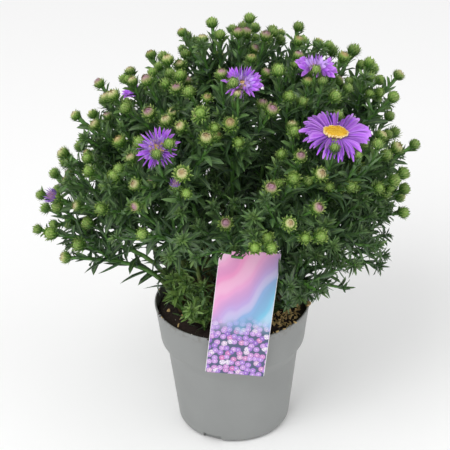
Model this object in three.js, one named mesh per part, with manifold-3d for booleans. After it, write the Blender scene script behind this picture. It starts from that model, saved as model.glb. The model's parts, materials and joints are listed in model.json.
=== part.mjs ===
// A cushion aster in a grey nursery pot, with a plastic plant label hung over the rim.
// Millimetres, +Z up. The origin is the middle of the pot's flat base, and -Y is the front.
import * as THREE from "three";
import { mergeVertices } from "three/addons/utils/BufferGeometryUtils.js";
import Module from "manifold-3d";

const wasm = await Module();
wasm.setup();

// Driving dimensions: the pot, its soil and the label.
const GAP = 0.35;
const POT = {
  height: 106,
  rimRadius: 60,
  collarHeight: 31,
  collarFootRadius: 56,
  shoulderHeight: 10,
  bodyTopRadius: 50.8,
  footRadius: 44,
  footRound: 6,
  wall: 1.4,
  sides: 36,
};
const NOTCH = { count: 3, firstAngle: -114, width: 15, height: 6, depth: 9 };
const DRAIN = { count: 5, radius: 3.5, ringRadius: 24, sides: 10 };
const SOIL = { edgeHeight: 99, mound: 5, spokes: 20, rings: 3, roughness: 1.1, bevel: 1.5 };
const LABEL = {
  width: 44,
  length: 106,
  thickness: 0.8,
  bottomHeight: 77,
  leanDegrees: 7,
  cornerRadius: 0.8,
  overlap: 6,
  tongueWidth: 14,
  tongueReach: 8,
  tongueDepth: 20,
  rimClearance: 1.3,
  offset: 0.5,
  sight: 0.5,
  backRoom: 1,
};

// Driving dimensions: the crown of the plant and what it is made of.
const CROWN = {
  centre: new THREE.Vector3(4, 0, 191),
  radius: 117,
  halfHeight: 124,
  lowestElevation: -15,
  brim: 1.03,
  sprays: 35,
  firstAzimuth: 25,
  reachLeast: 0.95,
  reachSpan: 0.08,
  clearAngle: 19,
  footSpread: 38,
  rootDepth: 15,
  firstRise: 0.58,
  lastRise: 0.3,
  outwardLean: 0.12,
  upturn: 0.45,
};
const LOBES = [
  { azimuth: -172, elevation: 0, width: 22, gain: 0.2 },
  { azimuth: 8, elevation: 33, width: 26, gain: 0.15 },
  { azimuth: 60, elevation: 65, width: 26, gain: 0.05 },
];
const LEAFY_SIDE = { azimuth: -38, elevation: -16, width: 36 };
const LABEL_SIDE = { azimuth: -90, elevation: 0, width: 45, lift: 0.8 };
const OPEN_SIDE = { azimuth: -125, elevation: -35, width: 40 };
const STEM = { footRadius: 2, tipRadius: 1.3, sides: 3, joints: 5 };
const TWIG = {
  perSpray: 3,
  spacing: 25,
  spacingLeast: 0.85,
  spacingSpan: 0.3,
  dropLeast: 3,
  dropSpan: 9,
  rootLeast: 0.62,
  rootSpan: 0.13,
  splay: 0.35,
  bend: 0.55,
  radius: 1,
  sides: 3,
  joints: 3,
  tries: 8,
  lowPlace: 0.35,
  highPlace: 0.7,
};
const LEAF = {
  perSpray: 4,
  perTwig: 2,
  length: 25,
  width: 5.6,
  keel: 0.8,
  fold: 0.5,
  rise: 50,
  curl: 20,
  twigShare: 0.7,
  tries: 14,
  swing: 26,
  steepShare: 0.65,
  sizeLeast: 0.85,
  sizeSpan: 0.3,
  lowRoom: 0.5,
  highRoom: 0.4,
  nearRoot: 0.3,
  alongStem: [0.3, 0.92],
  alongTwig: [0.4, 0.9],
};
const TUFT = { leaves: 5, length: 12, width: 3.6, start: 0.93 };
const SHOOT = {
  azimuths: [-150, -120, -50, -20, 12, 62, 112, 176],
  ringRadius: 41,
  reach: 8,
  height: 26,
  footRadius: 1.3,
  tipRadius: 0.8,
  joints: 3,
  leaves: 7,
  leafLength: 15,
  leafStart: 0.6,
  bendAt: 0.6,
  heightLeast: 0.7,
  heightSpan: 0.5,
};
const BUD = {
  radius: 4.3,
  height: 8.5,
  cup: 0.6,
  bractReach: 1.3,
  bractHeight: 1.5,
  bracts: 5,
  sizeLeast: 0.9,
  sizeSpan: 0.2,
};
const PETAL = {
  thickness: 0.65,
  width: 3.2,
  layers: 2,
  innerReach: 0.84,
  lift: 0.1,
  innerLift: 0.3,
  level: 0.4,
  layerStep: 0.45,
  widest: 0.7,
  tipShare: 0.3,
  droop: 0.06,
  room: 3.5,
  rootShare: 0.7,
};
const HUB = { height: 1.5, radius: 5.2, growth: 1.35, margin: 0.6, sides: 8 };
const DISC = { share: 0.86, height: 2.4, sides: 10, shoulder: 0.95, crown: 0.6, crownAt: 0.85 };
const BLOOM_SCALE_DIAMETER = 32;
const CUP_SCALE_DIAMETER = 31;

// The blooms that are open, with the way each looks up.
const BLOOMS = [
  { azimuth: -45, elevation: 37, diameter: 48, petals: 13, face: [0.1, -0.04, 1] },
  { azimuth: -124, elevation: 39, diameter: 32, petals: 10, face: [-0.3, -0.75, 0.8] },
  { azimuth: -86, elevation: 63, diameter: 32, petals: 10, face: [0.15, -0.3, 1] },
  { azimuth: -27, elevation: 59, diameter: 32, petals: 10, face: [0.1, 0.1, 1] },
  { azimuth: 60, elevation: 26, diameter: 42, petals: 12, face: [0.25, 0.45, 1] },
  { azimuth: 130, elevation: 22, diameter: 32, petals: 10, face: [-0.4, 0.4, 1] },
];

// The sprays that give the crown its outline seen from the front: azimuth, elevation and reach.
const OUTLINE_SPRAYS = [
  [-166, -12, 0.97],
  [-170, -3, 1.04],
  [-175, 5, 1.02],
  [178, 16, 1],
  [172, 27, 1.08],
  [165, 38, 1.08],
  [147, 53, 1],
  [108, 67, 1.02],
  [75, 68, 1.02],
  [42, 60, 1.02],
  [21, 46, 1.02],
  [11, 34, 1.08],
  [0, 17, 1.05],
  [-5, 5, 1],
  [-12, -7, 0.97],
];
const GOLDEN_ANGLE = Math.PI * (3 - Math.sqrt(5));
const UP = new THREE.Vector3(0, 0, 1);

const MATERIALS = {
  pot: new THREE.MeshStandardMaterial({ color: 0x94958f, roughness: 0.55, metalness: 0 }),
  soil: new THREE.MeshStandardMaterial({ color: 0x2b1f18, roughness: 1, metalness: 0 }),
  label: new THREE.MeshStandardMaterial({ color: 0xc58fd0, roughness: 0.35, metalness: 0 }),
  foliage: new THREE.MeshStandardMaterial({ color: 0x3f6b2c, roughness: 0.6, metalness: 0 }),
  ray: new THREE.MeshStandardMaterial({ color: 0x9a5be0, roughness: 0.6, metalness: 0 }),
  disc: new THREE.MeshStandardMaterial({ color: 0xe0b42a, roughness: 0.8, metalness: 0 }),
};

const radians = THREE.MathUtils.degToRad;
const lerp = THREE.MathUtils.lerp;

// A seeded random number from 0 to 1 for a stem, a place on it and a purpose.
function chance(a, b = 0, c = 0) {
  let h = (a * 374761393 + b * 668265263 + c * 2147483647 + 97) >>> 0;
  h = Math.imul(h ^ (h >>> 13), 1274126177) >>> 0;
  h = Math.imul(h ^ (h >>> 16), 2246822519) >>> 0;
  return ((h ^ (h >>> 15)) >>> 0) / 4294967296;
}

// Turns a closed geometry into a solid.
function solidOf(geometry) {
  const bare = geometry.clone();
  bare.deleteAttribute("normal");
  bare.deleteAttribute("uv");
  const merged = mergeVertices(bare, 1e-4);
  return new wasm.Manifold(
    new wasm.Mesh({
      numProp: 3,
      vertProperties: new Float32Array(merged.attributes.position.array),
      triVerts: new Uint32Array(merged.index.array),
    }),
  );
}

// Joins solids into one body: what fusing leaves loose is dropped, and a sealed hollow is filled.
function fuse(solids) {
  const joined = solids.reduce((sum, next) => sum.add(next));
  const bodies = joined.decompose();
  return bodies.reduce((best, next) => (next.volume() > best.volume() ? next : best));
}

function meshOf(name, solid, material) {
  const { vertProperties, triVerts, numProp } = solid.getMesh();
  const places = new Float32Array((vertProperties.length / numProp) * 3);
  for (let i = 0; i < places.length / 3; i++) {
    places.set(vertProperties.subarray(i * numProp, i * numProp + 3), i * 3);
  }
  const geometry = new THREE.BufferGeometry();
  geometry.setAttribute("position", new THREE.BufferAttribute(places, 3));
  geometry.setIndex(new THREE.BufferAttribute(new Uint32Array(triVerts), 1));
  geometry.computeVertexNormals();
  const mesh = new THREE.Mesh(geometry, material);
  mesh.name = name;
  return mesh;
}

// A closed skin over rings of points, each running counter-clockwise round the way ahead.
// Neighbouring rings may have different numbers of points, and a ring of one point is a tip.
function loft(rings) {
  const starts = [];
  let total = 0;
  for (const ring of rings) {
    starts.push(total);
    total += ring.length;
  }
  const faces = [];
  const last = rings.length - 1;
  for (let k = 0; k < last; k++) {
    const steps = Math.max(rings[k].length, rings[k + 1].length);
    const corner = (ring, i) =>
      starts[ring] + (Math.floor((i * rings[ring].length) / steps) % rings[ring].length);
    for (let i = 0; i < steps; i++) {
      const [a, b] = [corner(k, i), corner(k, i + 1)];
      const [c, d] = [corner(k + 1, i), corner(k + 1, i + 1)];
      if (a !== b) faces.push(a, b, c);
      if (c !== d) faces.push(b, d, c);
    }
  }
  for (let i = 1; i + 1 < rings[0].length; i++) {
    faces.push(0, i + 1, i);
  }
  for (let i = 1; i + 1 < rings[last].length; i++) {
    faces.push(starts[last], starts[last] + i, starts[last] + i + 1);
  }
  const geometry = new THREE.BufferGeometry();
  const places = new Float32Array(rings.flat().flatMap((p) => [p.x, p.y, p.z]));
  geometry.setAttribute("position", new THREE.BufferAttribute(places, 3));
  geometry.setIndex(faces);
  return geometry;
}

// The cross axes of a path at t, steady along the path because they follow its side vector.
function frameAt(path, t) {
  const ahead = path.curve.getTangent(t);
  const across = path.side.clone().addScaledVector(ahead, -path.side.dot(ahead)).normalize();
  return { at: path.curve.getPoint(t), ahead, across, over: ahead.clone().cross(across) };
}

function ringAt(frame, radius, sides, turn = 0) {
  return Array.from({ length: sides }, (_, i) => {
    const angle = turn + (2 * Math.PI * i) / sides;
    return frame.at
      .clone()
      .addScaledVector(frame.across, radius * Math.cos(angle))
      .addScaledVector(frame.over, radius * Math.sin(angle));
  });
}

// A stem along a path, as rings, so that what it ends in can grow on from the last one.
function stemRings(path, radiusAt, sides, joints) {
  return Array.from({ length: joints }, (_, k) => {
    const t = k / (joints - 1);
    return ringAt(frameAt(path, t), radiusAt(t), sides);
  });
}

// The pot: a tapered shell with a collar, a rounded foot, notches at its edge and drain holes.
function potSurfaceRadius(height) {
  const collarFoot = POT.height - POT.collarHeight;
  const shoulder = collarFoot - POT.shoulderHeight;
  if (height >= collarFoot) {
    return lerp(POT.collarFootRadius, POT.rimRadius, (height - collarFoot) / POT.collarHeight);
  }
  if (height >= shoulder) {
    return lerp(POT.bodyTopRadius, POT.collarFootRadius, (height - shoulder) / POT.shoulderHeight);
  }
  return lerp(POT.footRadius, POT.bodyTopRadius, height / shoulder);
}

function makePot() {
  const collarFoot = POT.height - POT.collarHeight;
  const shoulder = collarFoot - POT.shoulderHeight;
  const outside = [[0, 0], [POT.footRadius - POT.footRound, 0]];
  for (const angle of [45, 90]) {
    const a = radians(angle);
    const out = POT.footRadius - POT.footRound * (1 - Math.sin(a));
    outside.push([out, POT.footRound * (1 - Math.cos(a))]);
  }
  outside.push([POT.bodyTopRadius, shoulder], [POT.collarFootRadius, collarFoot]);
  outside.push([POT.rimRadius, POT.height]);
  const inside = [
    [POT.rimRadius - POT.wall, POT.height],
    [POT.collarFootRadius - POT.wall, collarFoot],
    [POT.bodyTopRadius - POT.wall, shoulder],
    [POT.footRadius - POT.wall, POT.footRound],
    [POT.footRadius - POT.footRound, POT.wall],
    [0, POT.wall],
  ];
  const profile = [...outside, ...inside].map(([x, y]) => new THREE.Vector2(x, y));
  const shell = new THREE.LatheGeometry(profile, POT.sides).rotateX(Math.PI / 2);
  let pot = solidOf(shell);
  for (let i = 0; i < NOTCH.count; i++) {
    const angle = radians(NOTCH.firstAngle) + (2 * Math.PI * i) / NOTCH.count;
    const block = new THREE.BoxGeometry(NOTCH.depth * 2, NOTCH.width, NOTCH.height * 2);
    block.translate(POT.footRadius + NOTCH.depth / 2, 0, 0).rotateZ(angle);
    pot = pot.subtract(solidOf(block));
  }
  for (let i = 0; i < DRAIN.count; i++) {
    const angle = (2 * Math.PI * i) / DRAIN.count;
    const drill = new THREE.CylinderGeometry(DRAIN.radius, DRAIN.radius, POT.wall * 4, DRAIN.sides);
    drill.rotateX(Math.PI / 2).translate(DRAIN.ringRadius, 0, 0).rotateZ(angle);
    pot = pot.subtract(solidOf(drill));
  }
  return pot;
}

// The soil fills the pot, with a crumbly top that is low at the wall and mounded in the middle.
function soilHeight(x, y) {
  const share = Math.min(1, Math.hypot(x, y) / innerRadius(SOIL.edgeHeight));
  const crumbs = Math.sin(x * 0.41 + 1.3) * Math.cos(y * 0.37) + Math.sin((x + y) * 0.23 + 2.1);
  const fade = 1 - share ** 6;
  return SOIL.edgeHeight + SOIL.mound * (1 - share ** 2) + SOIL.roughness * crumbs * fade;
}

// The room inside the pot's wall at a height, less a gap.
function innerRadius(height) {
  return potSurfaceRadius(height) - POT.wall - GAP;
}

function soilRing(radius, height) {
  return Array.from({ length: SOIL.spokes }, (_, i) => {
    const angle = (2 * Math.PI * i) / SOIL.spokes;
    const x = radius * Math.cos(angle);
    const y = radius * Math.sin(angle);
    return new THREE.Vector3(x, y, height ?? soilHeight(x, y));
  });
}

function makeSoil(holes) {
  const floor = POT.wall + GAP;
  const collarFoot = POT.height - POT.collarHeight;
  const shoulder = collarFoot - POT.shoulderHeight;
  const top = innerRadius(SOIL.edgeHeight) - GAP;
  const rings = [
    [new THREE.Vector3(0, 0, floor)],
    soilRing(POT.footRadius - POT.footRound - GAP, floor),
    soilRing(innerRadius(POT.footRound) - 2 * GAP, POT.footRound + 2 * GAP),
    soilRing(innerRadius(shoulder) - 2 * GAP, shoulder),
    soilRing(innerRadius(collarFoot) - 2 * GAP, collarFoot),
    soilRing(top, SOIL.edgeHeight - SOIL.bevel),
  ];
  for (let k = SOIL.rings; k > 0; k--) {
    rings.push(soilRing(((top - SOIL.bevel) * k) / SOIL.rings));
  }
  rings.push([new THREE.Vector3(0, 0, soilHeight(0, 0))]);
  const body = solidOf(loft(rings));
  return holes.reduce((soil, hole) => soil.subtract(hole), body);
}

// The label: a flat card outside the rim, with a tongue that hooks over it into the soil.
const LABEL_FACE = -(POT.rimRadius + GAP);
const RIM_ON_LABEL = (POT.height - LABEL.bottomHeight) / Math.cos(radians(LABEL.leanDegrees));

function labelFrame() {
  const lean = new THREE.Matrix4().makeRotationY(radians(LABEL.leanDegrees));
  return new THREE.Matrix4()
    .makeTranslation(LABEL.offset, LABEL_FACE - LABEL.thickness, LABEL.bottomHeight)
    .multiply(lean);
}

function makeLabel() {
  const half = LABEL.width / 2;
  const r = LABEL.cornerRadius;
  const card = new THREE.Shape();
  card.moveTo(-half + r, 0).lineTo(half - r, 0);
  card.absarc(half - r, r, r, -Math.PI / 2, 0);
  card.lineTo(half, LABEL.length - r);
  card.absarc(half - r, LABEL.length - r, r, 0, Math.PI / 2);
  card.lineTo(-half + r, LABEL.length);
  card.absarc(-half + r, LABEL.length - r, r, Math.PI / 2, Math.PI);
  card.lineTo(-half, r);
  card.absarc(-half + r, r, r, Math.PI, 1.5 * Math.PI);
  const plate = new THREE.ExtrudeGeometry(card, {
    depth: LABEL.thickness,
    bevelEnabled: false,
    curveSegments: 2,
  });
  plate.rotateX(Math.PI / 2).scale(1, -1, 1);
  const t = LABEL.thickness;
  const back = LABEL.tongueReach;
  const under = RIM_ON_LABEL + LABEL.rimClearance;
  const hook = new THREE.Shape();
  hook.moveTo(t * 0.4, under + 2 * t);
  hook.lineTo(back + t, under + t);
  hook.lineTo(back + t, RIM_ON_LABEL - LABEL.tongueDepth);
  hook.lineTo(back, RIM_ON_LABEL - LABEL.tongueDepth);
  hook.lineTo(back, under);
  hook.lineTo(t * 0.4, under);
  const tongue = new THREE.ExtrudeGeometry(hook, {
    depth: LABEL.tongueWidth,
    bevelEnabled: false,
  });
  // The hook's outline is drawn in (Y, Z), and its depth runs along X.
  const toLabel = new THREE.Matrix4().makeBasis(
    new THREE.Vector3(0, 1, 0),
    new THREE.Vector3(0, 0, 1),
    new THREE.Vector3(1, 0, 0),
  );
  tongue.applyMatrix4(toLabel).translate(-LABEL.tongueWidth / 2, 0, 0);
  const pieces = [outward(plate), outward(tongue)];
  for (const piece of pieces) piece.applyMatrix4(labelFrame());
  return fuse(pieces.map(solidOf));
}

// A geometry that a mirror or its ring order turned inside out gets its triangles turned round.
function outward(geometry) {
  const g = geometry.index ? geometry.toNonIndexed() : geometry.clone();
  const p = g.attributes.position.array;
  let volume = 0;
  const [a, b, c] = [new THREE.Vector3(), new THREE.Vector3(), new THREE.Vector3()];
  for (let i = 0; i < p.length; i += 9) {
    a.fromArray(p, i);
    b.fromArray(p, i + 3);
    c.fromArray(p, i + 6);
    volume += a.dot(b.cross(c));
  }
  if (volume < 0) {
    for (let i = 0; i < p.length; i += 9) {
      const second = p.slice(i + 3, i + 6);
      p.copyWithin(i + 3, i + 6, i + 9);
      p.set(second, i + 6);
    }
  }
  g.deleteAttribute("normal");
  g.deleteAttribute("uv");
  return g;
}

// The growth rule: sprays fan out from the soil to tips spread evenly over the crown.
const CROWN_RADII = new THREE.Vector3(CROWN.radius, CROWN.radius, CROWN.halfHeight);

function direction(azimuth, elevation) {
  const flat = Math.cos(elevation);
  return new THREE.Vector3(
    flat * Math.cos(azimuth),
    flat * Math.sin(azimuth),
    Math.sin(elevation),
  );
}

function apartFrom(toward, place) {
  return direction(radians(place.azimuth), radians(place.elevation)).angleTo(toward);
}

// How far the crown's lobes push its surface out in a direction.
function crownSize(toward) {
  return LOBES.reduce((size, lobe) => {
    const apart = apartFrom(toward, lobe) / radians(lobe.width);
    return size + lobe.gain * Math.exp(-apart * apart);
  }, 1);
}

function crownPoint(toward, reach) {
  return CROWN_RADII.clone()
    .multiply(toward)
    .multiplyScalar(reach * crownSize(toward))
    .add(CROWN.centre);
}

// Twigs end inside the crown, and neither over its open side nor in sight of the label.
function inCrown(tip) {
  const share = tip.clone().sub(CROWN.centre).divide(CROWN_RADII);
  const toward = share.clone().normalize();
  return share.length() < CROWN.brim * crownSize(toward) && growsOver(tip, toward);
}

function growsOver(tip, toward) {
  const open = apartFrom(toward, OPEN_SIDE) < radians(OPEN_SIDE.width);
  return !open && clearOfLabel(tip, BUD.radius);
}

function growSpray(index, azimuth, elevation, reach, face) {
  const toward = direction(azimuth, elevation);
  const tip = crownPoint(toward, reach);
  const leafy = apartFrom(toward, LEAFY_SIDE) < radians(LEAFY_SIDE.width);
  const lowest = Math.sin(radians(CROWN.lowestElevation));
  const share = (Math.sin(elevation) - lowest) / (1 - lowest);
  const footRadius = CROWN.footSpread * Math.sqrt(Math.max(0.02, 1 - share));
  const foot = new THREE.Vector3(
    footRadius * Math.cos(azimuth),
    footRadius * Math.sin(azimuth),
    SOIL.edgeHeight - CROWN.rootDepth,
  );
  const heading = toward.clone().addScaledVector(UP, CROWN.upturn).normalize();
  const length = foot.distanceTo(tip);
  const flatOut = new THREE.Vector3(Math.cos(azimuth), Math.sin(azimuth), 0);
  const rise = UP.clone().addScaledVector(flatOut, CROWN.outwardLean).normalize();
  const behindLabel = Math.max(0, 1 - apartFrom(toward, LABEL_SIDE) / radians(LABEL_SIDE.width));
  const firstRise = length * (CROWN.firstRise + LABEL_SIDE.lift * behindLabel);
  const end = face ? new THREE.Vector3(...face).normalize() : heading;
  const curve = new THREE.CubicBezierCurve3(
    foot,
    foot.clone().addScaledVector(rise, firstRise),
    tip.clone().addScaledVector(end, -length * CROWN.lastRise),
    tip,
  );
  const side = new THREE.Vector3(-Math.sin(azimuth), Math.cos(azimuth), 0);
  return { index, tip, heading, end, side, curve, leafy };
}

function growTwig(spray, j, attempt) {
  const across = spray.side;
  const over = spray.heading.clone().cross(across).normalize();
  const start = 2 * Math.PI * (chance(spray.index, 1) + attempt / TWIG.tries);
  const angle = start + j * GOLDEN_ANGLE;
  const offset = across
    .clone()
    .multiplyScalar(Math.cos(angle))
    .addScaledVector(over, Math.sin(angle));
  const spacing = TWIG.spacing * (TWIG.spacingLeast + TWIG.spacingSpan * chance(spray.index, j, 2));
  const drop = TWIG.dropLeast + TWIG.dropSpan * chance(spray.index, j, 3);
  const end = spray.tip
    .clone()
    .addScaledVector(offset, spacing)
    .addScaledVector(spray.heading, -drop);
  const heading = spray.heading.clone().addScaledVector(offset, TWIG.splay).normalize();
  const root = spray.curve.getPoint(TWIG.rootLeast + TWIG.rootSpan * chance(spray.index, j, 4));
  const bend = end.clone().addScaledVector(heading, -TWIG.bend * root.distanceTo(end));
  const curve = new THREE.QuadraticBezierCurve3(root, bend, end);
  return { curve, side: spray.heading.clone().cross(offset).normalize(), heading, end };
}

// Azimuths run with the golden angle, so neighbours never line up, from the lowest spray up.
function allSprays() {
  const places = [
    ...BLOOMS.map((bloom) => ({ ...bloom, reach: 1 })),
    ...OUTLINE_SPRAYS.map(([azimuth, elevation, reach]) => ({ azimuth, elevation, reach })),
  ];
  const placed = places.length;
  const low = Math.sin(radians(CROWN.lowestElevation));
  for (let k = 0; k < CROWN.sprays; k++) {
    const height = lerp(low, 1, (k + 0.5) / CROWN.sprays);
    const place = {
      azimuth: CROWN.firstAzimuth + THREE.MathUtils.radToDeg(k * GOLDEN_ANGLE),
      elevation: THREE.MathUtils.radToDeg(Math.asin(height)),
      reach: CROWN.reachLeast + CROWN.reachSpan * chance(k, 7),
    };
    const toward = direction(radians(place.azimuth), radians(place.elevation));
    const near = (other) => apartFrom(toward, other) < radians(CROWN.clearAngle);
    const fits = growsOver(crownPoint(toward, place.reach), toward);
    if (fits && !places.slice(0, placed).some(near)) places.push(place);
  }
  return places.map((place, i) =>
    growSpray(i, radians(place.azimuth), radians(place.elevation), place.reach, place.face),
  );
}

// Room: what is already built, as thick line segments, so that new leaves are bent clear of it.
const room = [];

function occupy(owner, limb, a, b, radius) {
  room.push({ owner, limb, a, b, radius });
}

function segmentDistance(p1, q1, p2, q2) {
  const d1 = q1.clone().sub(p1);
  const d2 = q2.clone().sub(p2);
  const r = p1.clone().sub(p2);
  const a = d1.dot(d1);
  const e = d2.dot(d2);
  const f = d2.dot(r);
  const c = d1.dot(r);
  const b = d1.dot(d2);
  const clamp = THREE.MathUtils.clamp;
  const spread = a * e - b * b;
  let s = spread > 1e-9 ? clamp((b * f - c * e) / spread, 0, 1) : 0;
  let t = (b * s + f) / e;
  if (t < 0) {
    t = 0;
    s = clamp(-c / a, 0, 1);
  } else if (t > 1) {
    t = 1;
    s = clamp((b - c) / a, 0, 1);
  }
  return p1.clone().addScaledVector(d1, s).distanceTo(p2.clone().addScaledVector(d2, t));
}

function clearOfPlant(owner, limb, a, b, radius) {
  return room.every((r) => {
    if (r.owner === owner && (r.limb === limb || limb === undefined)) return true;
    return segmentDistance(a, b, r.a, r.b) > radius + r.radius + GAP;
  });
}

function clearOfPot(point, radius) {
  const out = Math.hypot(point.x, point.y);
  const need = radius + GAP;
  if (out < innerRadius(POT.height) - need) return point.z > soilHeight(point.x, point.y) + need;
  return out > POT.rimRadius + need || point.z > POT.height + need;
}

const LABEL_INVERSE = labelFrame().invert();

// Leaves keep off the label. Before its face they grow only above the line of sight to it, or
// just over its top edge.
function clearOfLabel(point, radius) {
  const p = point.clone().applyMatrix4(LABEL_INVERSE);
  const need = radius + GAP;
  const beside = Math.abs(p.x) > LABEL.width / 2 + need;
  const above = p.z > LABEL.length + need;
  const before = p.y < -need && p.z > LABEL.length - LABEL.overlap - LABEL.sight * p.y;
  const behind = p.y > LABEL.thickness + LABEL.tongueReach + LABEL.backRoom + need;
  return beside || above || before || behind;
}

function clearOfHolder(a, b, radius) {
  return [0, 0.25, 0.5, 0.75, 1].every((t) => {
    const p = a.clone().lerp(b, t);
    return clearOfPot(p, radius) && clearOfLabel(p, radius);
  });
}

// A leaf: an arched blade, widest near its middle, keeled below, with its root inside the stem.
function leafLines(frame, turn, rise, curl, length) {
  const out = frame.across
    .clone()
    .multiplyScalar(Math.cos(turn))
    .addScaledVector(frame.over, Math.sin(turn));
  const aim = (angle) =>
    frame.ahead.clone().multiplyScalar(Math.cos(angle)).addScaledVector(out, Math.sin(angle));
  const first = aim(rise);
  const second = aim(rise + curl);
  const middle = frame.at.clone().addScaledVector(first, length * 0.5);
  const tip = middle.clone().addScaledVector(second, length * 0.5);
  return { root: frame.at, middle, tip, first, wide: first.clone().cross(out).normalize() };
}

function leafSolid(lines, width) {
  const face = lines.wide.clone().cross(lines.first).normalize();
  const middle = [
    lines.middle.clone().addScaledVector(lines.wide, width / 2).addScaledVector(face, LEAF.fold),
    lines.middle.clone().addScaledVector(lines.wide, -width / 2).addScaledVector(face, LEAF.fold),
    lines.middle.clone().addScaledVector(face, -LEAF.keel),
  ];
  return solidOf(outward(loft([[lines.root], middle, [lines.tip]])));
}

function growLeaves(owner, limb, path, places, length, width, solids) {
  places.forEach((t, i) => {
    const frame = frameAt(path, t);
    const size = length * (LEAF.sizeLeast + LEAF.sizeSpan * chance(owner, i, 11));
    const start = i * GOLDEN_ANGLE + 2 * Math.PI * chance(owner, limb, 12);
    for (let attempt = 0; attempt < LEAF.tries; attempt++) {
      const swing = radians(LEAF.swing) * Math.ceil(attempt / 2) * (attempt % 2 ? 1 : -1);
      const rise = radians(LEAF.rise * (attempt > LEAF.tries / 2 ? LEAF.steepShare : 1));
      const lines = leafLines(frame, start + swing, rise, radians(LEAF.curl), size);
      const near = lines.root.clone().lerp(lines.middle, LEAF.nearRoot);
      const fits =
        clearOfPlant(owner, undefined, near, lines.middle, width * LEAF.lowRoom) &&
        clearOfPlant(owner, limb, lines.middle, lines.tip, width * LEAF.highRoom) &&
        clearOfHolder(near, lines.tip, width * LEAF.lowRoom);
      if (!fits) continue;
      occupy(owner, `${limb}-leaf-${i}`, near, lines.middle, width * LEAF.lowRoom);
      occupy(owner, `${limb}-leaf-${i}`, lines.middle, lines.tip, width * LEAF.highRoom);
      solids.push(leafSolid(lines, width));
      return;
    }
  });
}

// A bud: a ring of pointed bracts and a globe above it, or an open cup where a bloom sits in it.
function budRings(limb, scale, opened) {
  const frame = frameAt(limb, 1);
  const rise = (height) => ({
    ...frame,
    at: frame.at.clone().addScaledVector(frame.ahead, height * scale),
  });
  const half = Math.PI / BUD.bracts;
  const rings = [
    ringAt(rise(BUD.bractHeight), BUD.radius * BUD.bractReach * scale, BUD.bracts),
    ringAt(rise(BUD.height * BUD.cup), BUD.radius * scale, BUD.bracts, half),
  ];
  if (!opened) rings.push([rise(BUD.height).at]);
  return rings;
}

// A bloom: petals in two layers round a flat hub, and a domed yellow disc on top of it. A wide
// bloom has a wider hub for its size than a small one.
function bloomSolids(spray, bloom) {
  const ahead = spray.end;
  const across = spray.side.clone().addScaledVector(ahead, -spray.side.dot(ahead)).normalize();
  const over = ahead.clone().cross(across);
  const level = (height) => ({
    at: spray.tip.clone().addScaledVector(ahead, height),
    ahead,
    across,
    over,
  });
  const scale = (bloom.diameter / BLOOM_SCALE_DIAMETER) ** HUB.growth;
  const hubRadius = HUB.radius * scale + HUB.margin;
  const base = BUD.height * BUD.cup * cupScale(bloom) + GAP;
  const hubTop = base + HUB.height;
  const hub = [ringAt(level(base), hubRadius, HUB.sides), ringAt(level(hubTop), hubRadius, HUB.sides)];
  const rays = [solidOf(loft(hub))];
  for (let layer = 0; layer < PETAL.layers; layer++) {
    const frame = level(base + PETAL.level + layer * PETAL.layerStep);
    for (let i = 0; i < bloom.petals; i++) {
      const turn = (2 * Math.PI * (i + layer * 0.5)) / bloom.petals;
      rays.push(petalSolid(frame, turn, layer, bloom, hubRadius));
    }
  }
  const discRadius = hubRadius * DISC.share;
  const dome = (share) => level(hubTop + GAP + DISC.height * share);
  const disc = loft([
    ringAt(dome(0), discRadius, DISC.sides),
    ringAt(dome(0.5), discRadius * DISC.shoulder, DISC.sides, Math.PI / DISC.sides),
    ringAt(dome(DISC.crownAt), discRadius * DISC.crown, DISC.sides / 2),
    [dome(1).at],
  ]);
  return { rays: fuse(rays), disc: solidOf(disc) };
}

// One petal: a strap that rises from the hub, widest near its end, with a blunt tip.
function petalSolid(frame, turn, layer, bloom, hubRadius) {
  const out = frame.across
    .clone()
    .multiplyScalar(Math.cos(turn))
    .addScaledVector(frame.over, Math.sin(turn));
  const wide = frame.ahead.clone().cross(out);
  const reach = (bloom.diameter / 2) * (layer ? PETAL.innerReach : 1);
  const lift = layer ? PETAL.innerLift : PETAL.lift;
  const section = (share, half, droop) => {
    const c = frame.at
      .clone()
      .addScaledVector(out, reach * share)
      .addScaledVector(frame.ahead, reach * (lift * share - droop));
    return [
      c.clone().addScaledVector(wide, half),
      c.clone().addScaledVector(wide, -half),
      c.clone().addScaledVector(frame.ahead, PETAL.thickness),
    ];
  };
  const half = (PETAL.width / 2) * Math.sqrt(bloom.diameter / BLOOM_SCALE_DIAMETER);
  const root = section((hubRadius * PETAL.rootShare) / reach, 0, 0)[0];
  const broad = section(PETAL.widest, half, 0);
  const tip = section(1, half * PETAL.tipShare, PETAL.droop);
  return solidOf(outward(loft([[root], broad, tip])));
}

function cupScale(bloom) {
  return Math.max(1, bloom.diameter / CUP_SCALE_DIAMETER);
}

function stemRadius(t) {
  return lerp(STEM.footRadius, STEM.tipRadius, t);
}

// The hole that a stem stands in: the stem's own path, a gap wider all round.
function soilHole(path, radiusAt, sides, joints) {
  const first = frameAt(path, 0);
  const second = frameAt(path, 1 / (joints - 1));
  const wider = (frame, t) => ringAt(frame, radiusAt(t) + 2 * GAP, sides);
  first.at.addScaledVector(first.ahead, -GAP);
  return solidOf(loft([wider(first, 0), wider(second, 1 / (joints - 1))]));
}

function evenly(count, from, to) {
  return Array.from({ length: count }, (_, i) => lerp(from, to, (i + 0.5) / count));
}

function occupyCurve(owner, limb, curve, pieces, radiusAt) {
  for (let k = 0; k < pieces; k++) {
    const a = curve.getPoint(k / pieces);
    occupy(owner, limb, a, curve.getPoint((k + 1) / pieces), radiusAt(k / pieces));
  }
}

function budAxis(at, ahead) {
  return [at.clone(), at.clone().addScaledVector(ahead, BUD.height * BUD.cup)];
}

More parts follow.
